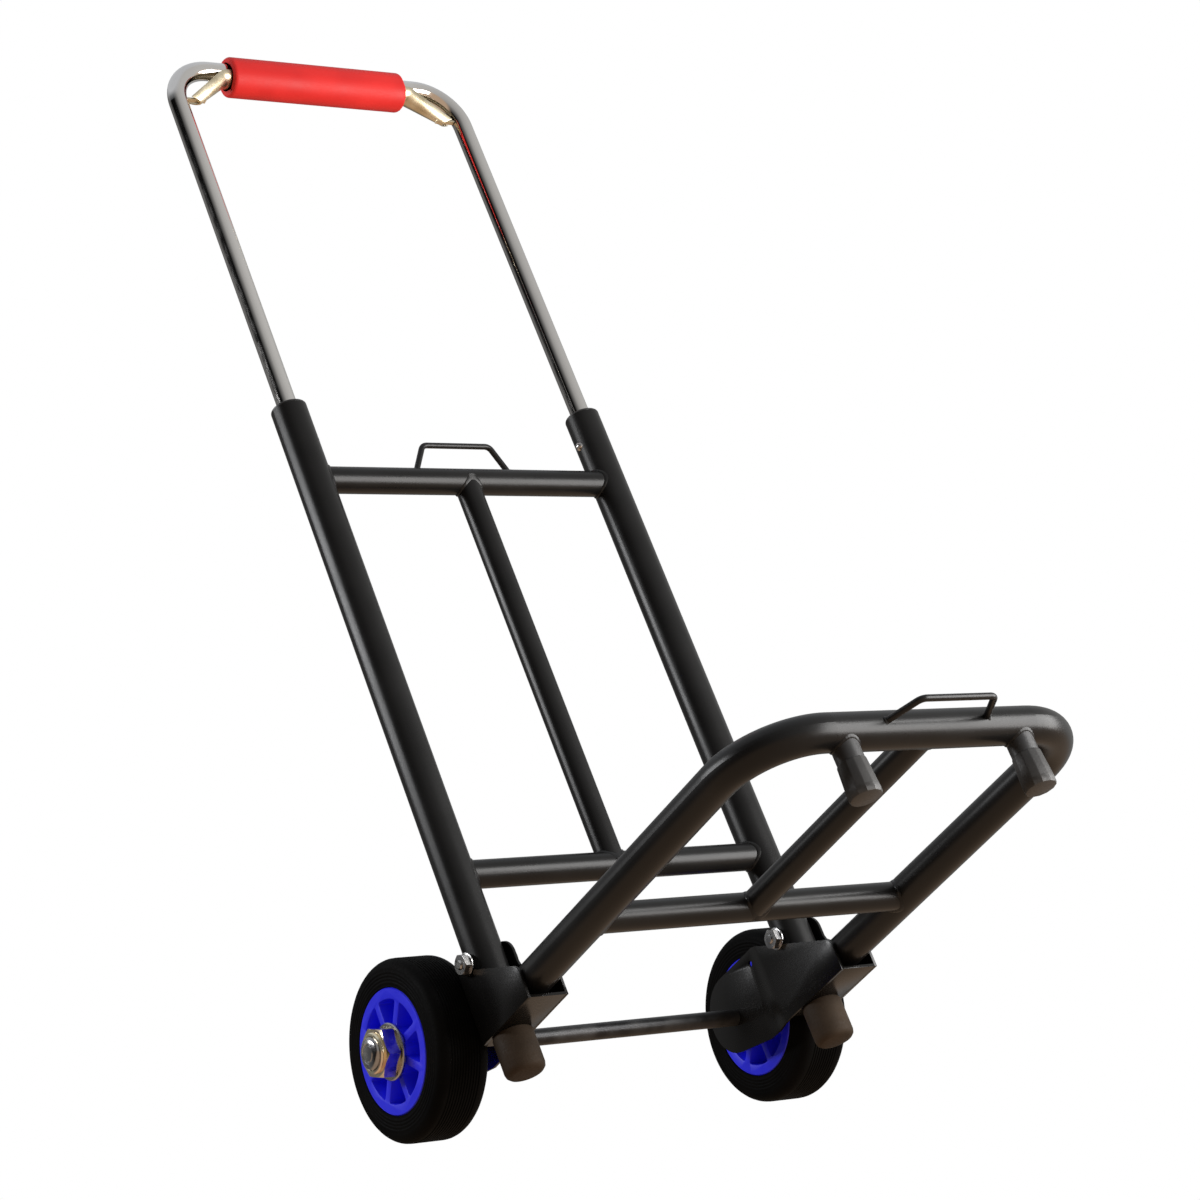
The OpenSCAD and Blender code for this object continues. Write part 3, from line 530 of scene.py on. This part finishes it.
# ---------------------------------------------------------------- axle
# A plain blacked rod runs between the brackets into two turned stubs. Each stub has a collar
# against the bracket, a journal for the wheel, and a domed end that a washer and a lock nut
# hold. The nut's yellow passivation shimmers from gold to rose and blue.
AXLE_R = 0.006
SOCKET = 0.018
COLLAR_L = 0.0133
JOURNAL_R = 0.011
NUT_BORE = 0.0111
WASHER_T = 0.0025
NUT_CROWN = 0.0025
dress("cross_axle", blacked_steel)
for side, way in SIDES:
    lo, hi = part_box(f"wheel_stub_{side}")
    start = lo.x if way > 0 else -hi.x
    length = hi.x - lo.x
    collar_r = (hi.z - lo.z) / 2
    bm = bmesh.new()
    lathe(bm, [
        (AXLE_R, 0), (collar_r - 0.0008, 0), (collar_r, 0.0008), (collar_r, 0.0125),
        (collar_r - 0.0008, COLLAR_L), (JOURNAL_R, COLLAR_L), (JOURNAL_R, length - 0.0021),
        (0.0104, length - 0.0013), (0.0092, length - 0.0007), (0.0070, length - 0.0003),
        (0.0066, length - 0.0007), (0.0058, length - 0.0007), (0.0054, length - 0.0002),
        (0, length), (0, SOCKET), (AXLE_R, SOCKET),
    ], (way * start, axle.y, axle.z), (way, 0, 0))
    piece(bm, f"axle_stub_{side}", "frame", "zinc", bright_zinc, f"wheel_stub_{side}")

yellow_zinc = finish(
    "yellow_zinc_plating", ((0.70, 0.55, 0.44), (0.84, 0.78, 0.56)), (0.12, 0.24), (0.01, 0.0001),
    1300, patch=150, metal=1.0,
)
washer_in, washer_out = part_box("axle_washers")
nut_in, nut_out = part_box("axle_nuts")
WASHER_R = (washer_out.z - washer_in.z) / 2
NUT_AF = nut_out.y - nut_in.y
washers, nuts = bmesh.new(), bmesh.new()
for _, way in SIDES:
    mirror = Matrix.Scale(way, 4, (1, 0, 0))
    start, crown = washer_out.x, nut_out.x - NUT_CROWN
    for mesh_of, old in ((washers, set(washers.verts)), (nuts, set(nuts.verts))):
        if mesh_of is washers:
            lathe(washers, [
                (NUT_BORE, 0), (WASHER_R - 0.0004, 0), (WASHER_R, 0.0005), (WASHER_R, 0.0018),
                (WASHER_R - 0.0007, WASHER_T), (NUT_BORE, WASHER_T),
            ], (start - WASHER_T, axle.y, axle.z), (1, 0, 0))
        else:
            hexagon(nuts, NUT_AF, start, crown, Vector((0, axle.y, axle.z)), NUT_BORE + 0.0001)
            lathe(nuts, [
                (NUT_BORE, 0.0001), (0.0140, 0), (0.0139, 0.0014), (0.0131, 0.0024),
                (0.0119, NUT_CROWN), (NUT_BORE, 0.0018),
            ], (crown, axle.y, axle.z), (1, 0, 0))
        new = [v for v in mesh_of.verts if v not in old]
        bmesh.ops.transform(mesh_of, matrix=mirror, verts=new)
piece(washers, "axle_washer_pair", "frame", "zinc", bright_zinc, "axle_washers")
piece(nuts, "axle_nut_pair", "frame", "nut_zinc", yellow_zinc, "axle_nuts", crease=25)

# ---------------------------------------------------------------- wheels
# A solid black rubber tyre with fine ribs round its tread and rings on its walls sits on a
# moulded blue rim, whose eight thin spokes stand between deep drafted pockets. Two plain
# white bushes run on the stub's journal.
tyre_rubber = finish(
    "tyre_rubber", ((0.0014, 0.0014, 0.0015), (0.0034, 0.0033, 0.0032)), (0.5, 0.75), (0.3, 0.0004),
    850, patch=30, ior=1.1,
)
rim_plastic = finish(
    "blue_rim_plastic", ((0.012, 0.014, 0.84), (0.018, 0.022, 0.96)), (0.3, 0.5), (0.08, 0.0003),
    700, patch=25, ior=1.4,
)
bush_plastic = finish(
    "white_bush_plastic", ((0.62, 0.62, 0.58), (0.74, 0.74, 0.70)), (0.35, 0.5), (0.06, 0.0002), 900
)
SPOKES = 8
SPOKE_W = 0.0055
BAND = 0.0075
HUB_R = 0.018
BORE_R = 0.01305
POCKET = 0.013
POCKET_FILLET = 0.0022
POCKET_DRAFT = 0.045
SHOULDER = 0.008
RIBS = 11
GROOVE = 0.0005
RIDGE = 0.003
RIDGE_W = 0.006
RIM_EDGE = 0.0008
STEPS = 8


def shoulder(tyre_r, angles):
    """Points round a tyre's shoulder at these degrees."""
    return [
        (tyre_r - SHOULDER + SHOULDER * math.cos(a), SHOULDER - SHOULDER * math.sin(a))
        for a in map(math.radians, angles)
    ]


for side, way in SIDES:
    lo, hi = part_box(f"tyre_{side}")
    wheel_x = lo.x if way > 0 else -hi.x
    width = hi.x - lo.x
    tyre_r = (hi.z - lo.z) / 2
    rim_lo, rim_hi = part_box(f"rim_{side}")
    ridge_r = (rim_hi.z - rim_lo.z) / 2
    rim_r = ridge_r - RIDGE
    bm = bmesh.new()
    tread = []
    land = (width - 2 * SHOULDER) / RIBS
    for i in range(RIBS):
        base = SHOULDER + i * land
        tread += [(tyre_r, base + 0.1 * land), (tyre_r, base + 0.66 * land),
                  (tyre_r - GROOVE, base + 0.74 * land), (tyre_r - GROOVE, base + 0.94 * land)]
    rings = [(rim_r, 0.0006), (rim_r + 0.0006, 0)]
    for r in (0.0455, 0.0478, 0.0501, 0.0524):
        rings += [(r, 0.0002), (r + 0.0003, 0), (r + 0.0012, 0), (r + 0.0015, 0.0002)]
    lower = rings + shoulder(tyre_r, range(84, 0, -12))
    upper = [(r, width - h) for r, h in reversed(lower)]
    lathe(bm, lower + tread + upper + [
        (rim_r, width / 2 + RIDGE_W), (ridge_r, width / 2 + RIDGE_W),
        (ridge_r, width / 2 - RIDGE_W), (rim_r, width / 2 - RIDGE_W),
    ], (way * wheel_x, axle.y, axle.z), (way, 0, 0), 128)
    piece(bm, f"tyre_{side}_rubber", f"wheel_{side}", "tyre", tyre_rubber, f"tyre_{side}",
          crease=50)

    bm = bmesh.new()
    inner, outer = HUB_R + 0.0003, rim_r - BAND
    gap = SPOKE_W / 2
    for face_z, out in ((width, 1), (0, -1)):
        loops = []
        for i in range(SPOKES):
            middle = math.tau * (i + 0.5) / SPOKES
            half = math.pi / SPOKES
            points = []
            for r, ways in ((outer, range(-STEPS, STEPS + 1)),
                            (inner, range(STEPS, -STEPS - 1, -1))):
                reach = half - math.asin(gap / r)
                points += [(r, middle + reach * w / STEPS) for w in ways]
            verts = [bm.verts.new((r * math.cos(a), r * math.sin(a), face_z)) for r, a in points]
            corners = [verts[k] for k in (0, 2 * STEPS, 2 * STEPS + 1, -1)]
            bm.faces.new(verts)
            bmesh.ops.bevel(bm, geom=corners, affect="VERTICES", offset=POCKET_FILLET,
                            offset_type="OFFSET", segments=4, profile=0.5, material=-1)
        pockets = [f for f in bm.faces if abs(f.calc_center_median().z - face_z) < 1e-6]
        rims = [e for f in pockets for e in f.edges]
        edges = list(rims)
        for r in (rim_r - RIM_EDGE, BORE_R):
            ring = bmesh.ops.create_circle(bm, segments=96, radius=r,
                                           matrix=Matrix.Translation((0, 0, face_z)))["verts"]
            edges += list({e for v in ring for e in v.link_edges})
        made = bmesh.ops.extrude_face_region(bm, geom=pockets)["geom"]
        for f in [g for g in made if isinstance(g, bmesh.types.BMFace)]:
            centre = f.calc_center_median()
            for v in f.verts:
                v.co += (centre - v.co) * POCKET_DRAFT
                v.co.z -= out * POCKET
        bmesh.ops.delete(bm, geom=[f for f in pockets if f.is_valid], context="FACES_ONLY")
        edges = [e for e in edges if e.is_valid]
        bmesh.ops.triangle_fill(bm, use_beauty=True, use_dissolve=True, edges=edges)
    lathe(bm, [
        (rim_r - RIM_EDGE, 0), (rim_r, RIM_EDGE), (rim_r, width / 2 - RIDGE_W),
        (ridge_r, width / 2 - RIDGE_W), (ridge_r, width / 2 + RIDGE_W),
        (rim_r, width / 2 + RIDGE_W), (rim_r, width - RIM_EDGE), (rim_r - RIM_EDGE, width),
    ], (0, 0, 0), (0, 0, 1), 96, closed=False)
    lathe(bm, [(BORE_R, width), (BORE_R, 0)], (0, 0, 0), (0, 0, 1), 96, closed=False)
    bmesh.ops.transform(
        bm, matrix=Matrix.Translation((way * wheel_x, axle.y, axle.z)) @ turned((way, 0, 0)),
        verts=bm.verts,
    )
    soften(bm, 0.0004, 2, 55)
    piece(bm, f"rim_{side}_moulding", f"wheel_{side}", "rim_blue", rim_plastic, f"rim_{side}")
    dress(f"hub_bushes_{side}", bush_plastic)

# ---------------------------------------------------------------- platform
# A steel tube bent into a U folds up on two pins. A rail and a short post stiffen it, a wire
# hook lies level in front, and two short stubs under its front bar carry rubber caps.
for node in ("platform_loop", "platform_crossbar", "platform_strut"):
    dress(node, black_coat)
stub_coat = finish(
    "stub_matt_coat", ((0.020, 0.020, 0.0205), (0.034, 0.034, 0.035)), (0.38, 0.5),
    (0.05, 0.0003), 900,
)
dress("foot_stubs", stub_coat)
cap_rubber = finish(
    "cap_rubber", ((0.022, 0.0212, 0.0205), (0.036, 0.035, 0.034)), (0.42, 0.6), (0.15, 0.0004),
    700, patch=45,
)
dress("pivot_bushes", bush_plastic)
rail_lo, rail_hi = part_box("platform_crossbar")
stub_lo, stub_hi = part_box("foot_stubs")
DECK_R = 0.0125
RAIL_R = (rail_hi.z - rail_lo.z) / 2
deck_rail_y = (rail_lo.y + rail_hi.y) / 2
front_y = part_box("platform_loop")[0].y + DECK_R
STUB_R = (stub_hi.y - stub_lo.y) / 2
stub_x = stub_hi.x - STUB_R
bm = bmesh.new()
for _, way in SIDES:
    weld(bm, (way * SIDE_X, deck_rail_y, pivot.z), (-way, 0, 0), (0, 1, 0), RAIL_R, DECK_R)
    weld(bm, (way * stub_x, front_y, pivot.z), (0, 0, -1), (1, 0, 0), STUB_R, DECK_R, THIN_BEAD)
weld(bm, (0, deck_rail_y, pivot.z), (0, -1, 0), (1, 0, 0), POST_R, RAIL_R)
weld(bm, (0, front_y, pivot.z), (0, 1, 0), (1, 0, 0), POST_R, DECK_R)
piece(bm, "platform_welds", "platform", "powder_black", black_coat)

deck_hook_lo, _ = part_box("platform_hook")
reach = front_y - deck_hook_lo.y - WIRE_R
bm = bmesh.new()
place = Matrix.Translation((0, front_y, pivot.z)) @ Matrix.Rotation(math.pi / 2, 4, "X")
bent_wire(bm, HOOK_BASE, HOOK_TOP, reach, WIRE_R, HOOK_BEND, place)
slant = (HOOK_BASE - HOOK_TOP) / 2 / reach
for way in (-1, 1):
    weld(bm, place @ Vector((way * HOOK_BASE / 2, 0, 0)),
         place.to_3x3() @ Vector((-way * slant, 0, 1)), (1, 0, 0), WIRE_R, DECK_R, THIN_BEAD)
piece(bm, "platform_cord_hook", "platform", "powder_black", hook_coat, "platform_hook")

for side, way in SIDES:
    lo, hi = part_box(f"front_foot_{side}")
    cap = (hi.x - lo.x) / 2
    bm = bmesh.new()
    lathe(bm, [
        (0, 0), (cap - 0.0022, 0), (cap - 0.0007, 0.0006), (cap, 0.0022), (cap, 0.006),
        (cap - 0.0011, hi.z - 0.001), (cap - 0.0016, hi.z), (STUB_R, hi.z), (STUB_R, 0.005),
        (0, 0.005),
    ], (way * stub_x, front_y, 0), (0, 0, 1), 12)
    soften(bm, 0.0006, 2, 20, lambda e: abs(e.verts[0].co.z - e.verts[1].co.z) > 0.01)
    piece(bm, f"front_foot_{side}_cap", "platform", "foot_rubber", cap_rubber,
          f"front_foot_{side}", crease=24)

# ---------------------------------------------------------------- handle
# A chromed steel tube bent into a U slides in the side tubes on white nylon plugs. Its top
# bar is inside a red moulded sleeve, soft to the hand, with rounded lips and an egg-shaped
# opening at each end that leaves room for the release bar under the tube.
chrome = finish(
    "chrome_plate", ((0.66, 0.64, 0.62), (0.80, 0.78, 0.755)), (0.05, 0.15), (0.03, 0.0001),
    500, patch=12, metal=1.0, stretch=(1, 1, 0.15),
)
dress("handle_loop", chrome)
for side, _ in SIDES:
    dress(f"slider_plug_{side}", bush_plastic)


def skin(bm, loops):
    """Joins loops of points, one after the other and the last to the first, into a skin."""
    rings = []
    for loop in loops:
        verts = [bm.verts.new(p) for p in loop]
        rings.append([bm.edges.new((a, b)) for a, b in zip(verts, verts[1:] + verts[:1])])
    for a, b in zip(rings, rings[1:] + rings[:1]):
        bmesh.ops.bridge_loops(bm, edges=a + b)


_, loop_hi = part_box("handle_loop")
BAR_Z = loop_hi.z - LEG_R
grip_lo, grip_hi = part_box("grip")
GRIP_L = grip_hi.x - grip_lo.x
GRIP_R = (grip_hi.y - grip_lo.y) / 2
GRIP_Z = (grip_hi.z + grip_lo.z) / 2
GRIP_RISE = (grip_hi.z - grip_lo.z) / 2 - GRIP_R
TRAVEL = next(j for j in frame["joints"] if j["name"] == "release_squeeze")["range_m"][1]
LIP = 0.0030
SKIN = 0.0005
END_INSET = 0.0022
POCKET_R = 0.0100


def sleeve(x, draw):
    """The grip's outer loop at x, drawn in by this much."""
    r = GRIP_R - SKIN - draw
    return [(x, UPRIGHT_Y + y, GRIP_Z + z) for y, z in
            arc(0, GRIP_RISE, r, 0, 180, 30) + arc(0, -GRIP_RISE, r, 180, 360, 30)]


def opening(x, grow):
    """The egg-shaped opening at x: round the tube above and the release bar below."""
    top, low = LEG_R + 0.0001 + grow, POCKET_R + grow
    tilt = math.degrees(math.asin((low - top) / TRAVEL))
    return [(x, UPRIGHT_Y + y, BAR_Z + z) for y, z in
            arc(0, 0, top, tilt, 180 - tilt, 30) + arc(0, -TRAVEL, low, 180 - tilt, 360 + tilt, 30)]


loops = []
half = GRIP_L / 2 - END_INSET
for end in (-1, 1):
    rounded = [
        sleeve(end * (half - LIP * (1 - math.sin(a))), LIP * 0.8 * (1 - math.cos(a)))
        for a in (math.radians(90 * i / 6) for i in range(7))
    ]
    face = [opening(end * half, 0.0009), opening(end * (half - 0.0006), 0.0002),
            opening(end * (half - 0.003), 0)]
    loops += list(reversed(rounded + face)) if end < 0 else rounded + face
grip_rubber = finish(
    "red_grip_rubber", ((0.56, 0.015, 0.014), (0.63, 0.019, 0.017)), (0.46, 0.62), (0.25, 0.0004),
    1200, patch=35, ior=1.36,
)
bm = bmesh.new()
skin(bm, loops)
piece(bm, "grip_sleeve", "handle", "grip_red", grip_rubber, "grip", crease=50)

# ---------------------------------------------------------------- lock buttons and springs
# In each leg's foot a sprung steel button snaps out through both tubes. A leaf presses it
# out, and a coil spring higher up pushes the pull rod back down.
spring_wire = finish(
    "spring_steel", ((0.36, 0.36, 0.37), (0.55, 0.54, 0.53)), (0.2, 0.4), (0.08, 0.0002),
    900, patch=60, metal=1.0,
)
BUTTON_R = 0.0038
LEAF_T = 0.0006
LEAF_W = 0.005
SPRING_WIRE = 0.0006
COILS = 9
COIL_STEPS = 20
dress("spring_seats", spring_wire)
for side, way in SIDES:
    lo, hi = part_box(f"lock_button_{side}")
    tip = SIDE_X - (lo.x if way > 0 else -hi.x)
    root = SIDE_X - (hi.x if way > 0 else -lo.x)
    z = lo.z + 2 * BUTTON_R
    bm = bmesh.new()
    dome = [(BUTTON_R * math.cos(a), tip - BUTTON_R + BUTTON_R * math.sin(a))
            for a in (math.radians(90 * i / 8) for i in range(9))]
    lathe(bm, [(0, root)] + [(BUTTON_R, root)] + dome[:-1] + [(0, tip)],
          (way * SIDE_X, UPRIGHT_Y, z), (-way, 0, 0), 40)
    leaf = bmesh.ops.create_cube(bm, size=1)["verts"]
    for v in leaf:
        v.co = Vector((way * (SIDE_X - root - LEAF_T / 2) + v.co.x * LEAF_T,
                       UPRIGHT_Y + v.co.y * LEAF_W, (lo.z + hi.z) / 2 + v.co.z * (hi.z - lo.z)))
    made = piece(bm, f"lock_button_{side}_dome", "handle", "zinc", bright_zinc,
                 f"lock_button_{side}")
    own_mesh(made)

    lo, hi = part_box(f"return_spring_{side}")
    bm = bmesh.new()
    coil_r = (hi.x - lo.x) / 2 - SPRING_WIRE
    x = way * SIDE_X
    ring = bmesh.ops.create_circle(
        bm, segments=8, radius=SPRING_WIRE,
        matrix=Matrix.Translation((x + coil_r, UPRIGHT_Y, lo.z + SPRING_WIRE))
        @ turned((0, 1, 0)),
    )["verts"]
    steps = COILS * COIL_STEPS
    rise = (hi.z - lo.z - 2 * SPRING_WIRE) / steps
    first = list({e for v in ring for e in v.link_edges})
    last = bmesh.ops.spin(
        bm, geom=first, cent=(x, UPRIGHT_Y, 0), axis=(0, 0, 1),
        dvec=(0, 0, rise), angle=math.tau * COILS, steps=steps,
    )["geom_last"]
    for edges in (first, [g for g in last if isinstance(g, bmesh.types.BMEdge)]):
        bmesh.ops.edgeloop_fill(bm, edges=edges)
    made = piece(bm, f"return_spring_{side}_coil", "handle", "spring_steel", spring_wire,
                 f"return_spring_{side}")
    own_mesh(made)
    dress(f"pull_rod_{side}", bright_zinc)

# ---------------------------------------------------------------- release bar
# A trough pressed from steel sheet, passivated a pale gold, lies under the tube inside the
# grip. Its bent ends slope down to the legs, where a thin tab enters each tube's slot.
pale_gold = finish(
    "pale_gold_plating", ((0.58, 0.50, 0.34), (0.74, 0.67, 0.50)), (0.26, 0.4), (0.015, 0.0001),
    900, patch=70, metal=1.0,
)
SLOPE = math.radians(39)
SHEET = 0.0015
TROUGH_R = 0.0095
BEND = 0.014
KNEE_X = GRIP_L / 2 + 0.005
LEG_L = 0.0435
TAB_W = 0.004
TAPER = 0.55
release_z = BAR_Z - TRAVEL
bm = bmesh.new()
for way in (-1, 1):
    verts = [bm.verts.new((0, UPRIGHT_Y + y, release_z + z)) for y, z in
             arc(0, 0, TROUGH_R, 180, 360, 24)]
    line = [bm.edges.new(pair) for pair in zip(verts, verts[1:])]
    setback = BEND * math.tan(SLOPE / 2)
    for part in ("flat", "bend", "leg"):
        if part == "bend":
            made = bmesh.ops.spin(
                bm, geom=line, cent=(way * (KNEE_X - setback), UPRIGHT_Y, release_z - BEND),
                axis=(0, 1, 0), angle=way * SLOPE, steps=10,
            )["geom_last"]
            line = [g for g in made if isinstance(g, bmesh.types.BMEdge)]
            continue
        made = bmesh.ops.extrude_edge_only(bm, edges=line)["geom"]
        ends = {g for g in made if isinstance(g, bmesh.types.BMVert)}
        step = (way * (KNEE_X - setback), 0, 0) if part == "flat" else Vector(
            (way * math.cos(SLOPE), 0, -math.sin(SLOPE))) * (LEG_L - setback)
        bmesh.ops.translate(bm, vec=step, verts=list(ends))
        line = list({e for v in ends for e in v.link_edges if set(e.verts) <= ends})
bmesh.ops.remove_doubles(bm, verts=bm.verts, dist=1e-6)
bmesh.ops.recalc_face_normals(bm, faces=bm.faces)
lowest = min(bm.faces, key=lambda f: f.calc_center_median().z + abs(f.calc_center_median().x))
if lowest.normal.z > 0:
    bmesh.ops.reverse_faces(bm, faces=bm.faces)
bmesh.ops.solidify(bm, geom=list(bm.faces), thickness=SHEET)
for v in bm.verts:
    x, z = abs(v.co.x) - KNEE_X, v.co.z - release_z
    along = (x * math.cos(SLOPE) - z * math.sin(SLOPE)) / LEG_L
    taper = TAPER * min(max(along, 0), 1)
    drop = x * math.sin(SLOPE) + z * math.cos(SLOPE)
    v.co.y = UPRIGHT_Y + (v.co.y - UPRIGHT_Y) * (1 - taper)
    v.co.x -= math.copysign(drop * taper * math.sin(SLOPE), v.co.x)
    v.co.z -= drop * taper * math.cos(SLOPE)
soften(bm, 0.0004, 2, 60)
tab_x = KNEE_X + LEG_L * math.cos(SLOPE) - (TROUGH_R - SHEET / 2) / math.sin(SLOPE)
tab_end = SIDE_X - 0.002
for way in (-1, 1):
    tab = bmesh.ops.create_cube(bm, size=1)["verts"]
    for v in tab:
        v.co = Vector((way * ((tab_x + tab_end) / 2 + v.co.x * (tab_end - tab_x)),
                       UPRIGHT_Y + v.co.y * TAB_W,
                       release_z - LEG_L * math.sin(SLOPE) + v.co.z * SHEET))
piece(bm, "release_trough", "release", "release_gold", pale_gold, "release_bar")

# ---------------------------------------------------------------- floor, light and camera
# A pale floor that only shows from above, a dim studio with a bright side and a warm lower
# half, soft boxes, and a camera that looks up at the cart from low on its left.
bm = bmesh.new()
bmesh.ops.create_grid(bm, x_segments=1, y_segments=1, size=6)
floor_mesh = bpy.data.meshes.new("floor")
bm.to_mesh(floor_mesh)
bm.free()
floor = bpy.data.objects.new("floor", floor_mesh)
scene.collection.objects.link(floor)
paving = bpy.data.materials.new("pale_floor")
paving.use_nodes = True
tree = paving.node_tree
matt = tree.nodes["Principled BSDF"]
matt.inputs["Base Color"].default_value = (0.86, 0.84, 0.81, 1)
matt.inputs["Roughness"].default_value = 0.7
clear = tree.nodes.new("ShaderNodeBsdfTransparent")
facing = tree.nodes.new("ShaderNodeNewGeometry")
ray = tree.nodes.new("ShaderNodeLightPath")
shown = tree.nodes.new("ShaderNodeMath")
shown.operation = "SUBTRACT"
tree.links.new(ray.outputs["Is Camera Ray"], shown.inputs[0])
tree.links.new(facing.outputs["Backfacing"], shown.inputs[1])
either = tree.nodes.new("ShaderNodeMixShader")
tree.links.new(shown.outputs["Value"], either.inputs["Fac"])
tree.links.new(clear.outputs["BSDF"], either.inputs[1])
tree.links.new(matt.outputs["BSDF"], either.inputs[2])
tree.links.new(either.outputs["Shader"], tree.nodes["Material Output"].inputs["Surface"])
floor_mesh.materials.append(paving)

world = bpy.data.worlds.new("studio")
scene.world = world
world.use_nodes = True
tree = world.node_tree


def joined(kind, *sources, **settings):
    """A world node fed by these sources, with these settings."""
    node = tree.nodes.new(kind)
    for key, value in settings.items():
        setattr(node, key, value)
    for socket, source in zip(node.inputs, sources):
        if isinstance(source, bpy.types.NodeSocket):
            tree.links.new(source, socket)
        else:
            socket.default_value = source
    return node


where = joined("ShaderNodeTexCoord")
parts = joined("ShaderNodeSeparateXYZ", where.outputs["Generated"])
front = joined("ShaderNodeMath", parts.outputs["Y"], -1.0, operation="MULTIPLY")
bearing = joined("ShaderNodeMath", parts.outputs["X"], front.outputs[0], operation="ARCTAN2")
share = joined("ShaderNodeMapRange", bearing.outputs[0], -math.pi, math.pi, 0.0, 1.0)
walls = joined("ShaderNodeValToRGB", share.outputs["Result"])
WALLS = (
    (-180, 0.12), (-150, 0.20), (-118, 0.0), (-68, 0.006), (-40, 0.20), (-15, 0.44), (12, 0.54),
    (43, 0.60), (90, 0.60), (130, 0.40), (180, 0.12),
)
ramp = walls.color_ramp
while len(ramp.elements) < len(WALLS):
    ramp.elements.new(0.5)
for stop, (azimuth, _) in zip(ramp.elements, WALLS):
    stop.position = (azimuth + 180) / 360
for stop, (_, level) in zip(ramp.elements, WALLS):
    stop.color = (level, level * 0.995, level * 0.98, 1)
down = joined("ShaderNodeMapRange", parts.outputs["Z"], -0.06, -0.32, 0.0, 1.0)
up = joined("ShaderNodeMapRange", parts.outputs["Z"], 0.66, 0.82, 0.0, 1.0)
low = joined("ShaderNodeMix", data_type="RGBA")
tree.links.new(down.outputs["Result"], low.inputs["Factor"])
tree.links.new(walls.outputs["Color"], low.inputs[6])
low.inputs[7].default_value = (0.60, 0.43, 0.30, 1)
high = joined("ShaderNodeMix", data_type="RGBA")
tree.links.new(up.outputs["Result"], high.inputs["Factor"])
tree.links.new(low.outputs[2], high.inputs[6])
high.inputs[7].default_value = (0.62, 0.64, 0.67, 1)
sky = tree.nodes["Background"]
tree.links.new(high.outputs[2], sky.inputs["Color"])
paper = tree.nodes.new("ShaderNodeBackground")
paper.inputs["Color"].default_value = (1, 1, 1, 1)
paper.inputs["Strength"].default_value = 1.0
ray = tree.nodes.new("ShaderNodeLightPath")
either = tree.nodes.new("ShaderNodeMixShader")
tree.links.new(ray.outputs["Is Camera Ray"], either.inputs["Fac"])
tree.links.new(sky.outputs["Background"], either.inputs[1])
tree.links.new(paper.outputs["Background"], either.inputs[2])
tree.links.new(either.outputs["Shader"], tree.nodes["World Output"].inputs["Surface"])

AIM = Vector((0.034, UPRIGHT_Y - 0.0532, 0.339))
for name, azimuth, elevation, distance, size, power, tint in (
    ("side_box", -111, 27.5, 2.2, (1.35, 0.34), 26, (0.97, 0.98, 1.0)),
    ("front_card", 37, -15, 1.3, (1.2, 0.9), 34, (1.0, 0.99, 0.98)),
):
    lamp = bpy.data.lights.new(name, "AREA")
    lamp.shape = "RECTANGLE"
    lamp.size, lamp.size_y = size
    lamp.energy = power
    lamp.color = tint
    box = bpy.data.objects.new(name, lamp)
    a, e = math.radians(azimuth), math.radians(elevation)
    out = Vector((math.sin(a) * math.cos(e), -math.cos(a) * math.cos(e), math.sin(e)))
    box.location = AIM + out * distance
    box.rotation_euler = out.to_track_quat("Z", "Y").to_euler()
    box.visible_camera = False
    scene.collection.objects.link(box)

CAMERA_AZIMUTH = math.radians(-40.11)
CAMERA_ELEVATION = math.radians(-27.49)
CAMERA_ROLL = math.radians(21.77)
CAMERA_DISTANCE = 2.40
LENS_MM = 100.08
SENSOR_MM = 36
a, e = CAMERA_AZIMUTH, CAMERA_ELEVATION
back = Vector((math.sin(a) * math.cos(e), -math.cos(a) * math.cos(e), math.sin(e)))
level = Vector((math.cos(a), math.sin(a), 0))
upright = back.cross(level)
right = level * math.cos(CAMERA_ROLL) - upright * math.sin(CAMERA_ROLL)
up = upright * math.cos(CAMERA_ROLL) + level * math.sin(CAMERA_ROLL)
lens = bpy.data.cameras.new("camera")
lens.lens = LENS_MM
lens.sensor_width = SENSOR_MM
camera = bpy.data.objects.new("camera", lens)
camera.matrix_world = Matrix.Translation(AIM + back * CAMERA_DISTANCE) @ Matrix(
    (right, up, back)).transposed().to_4x4()
scene.collection.objects.link(camera)
scene.camera = camera
scene.view_settings.view_transform = "Standard"
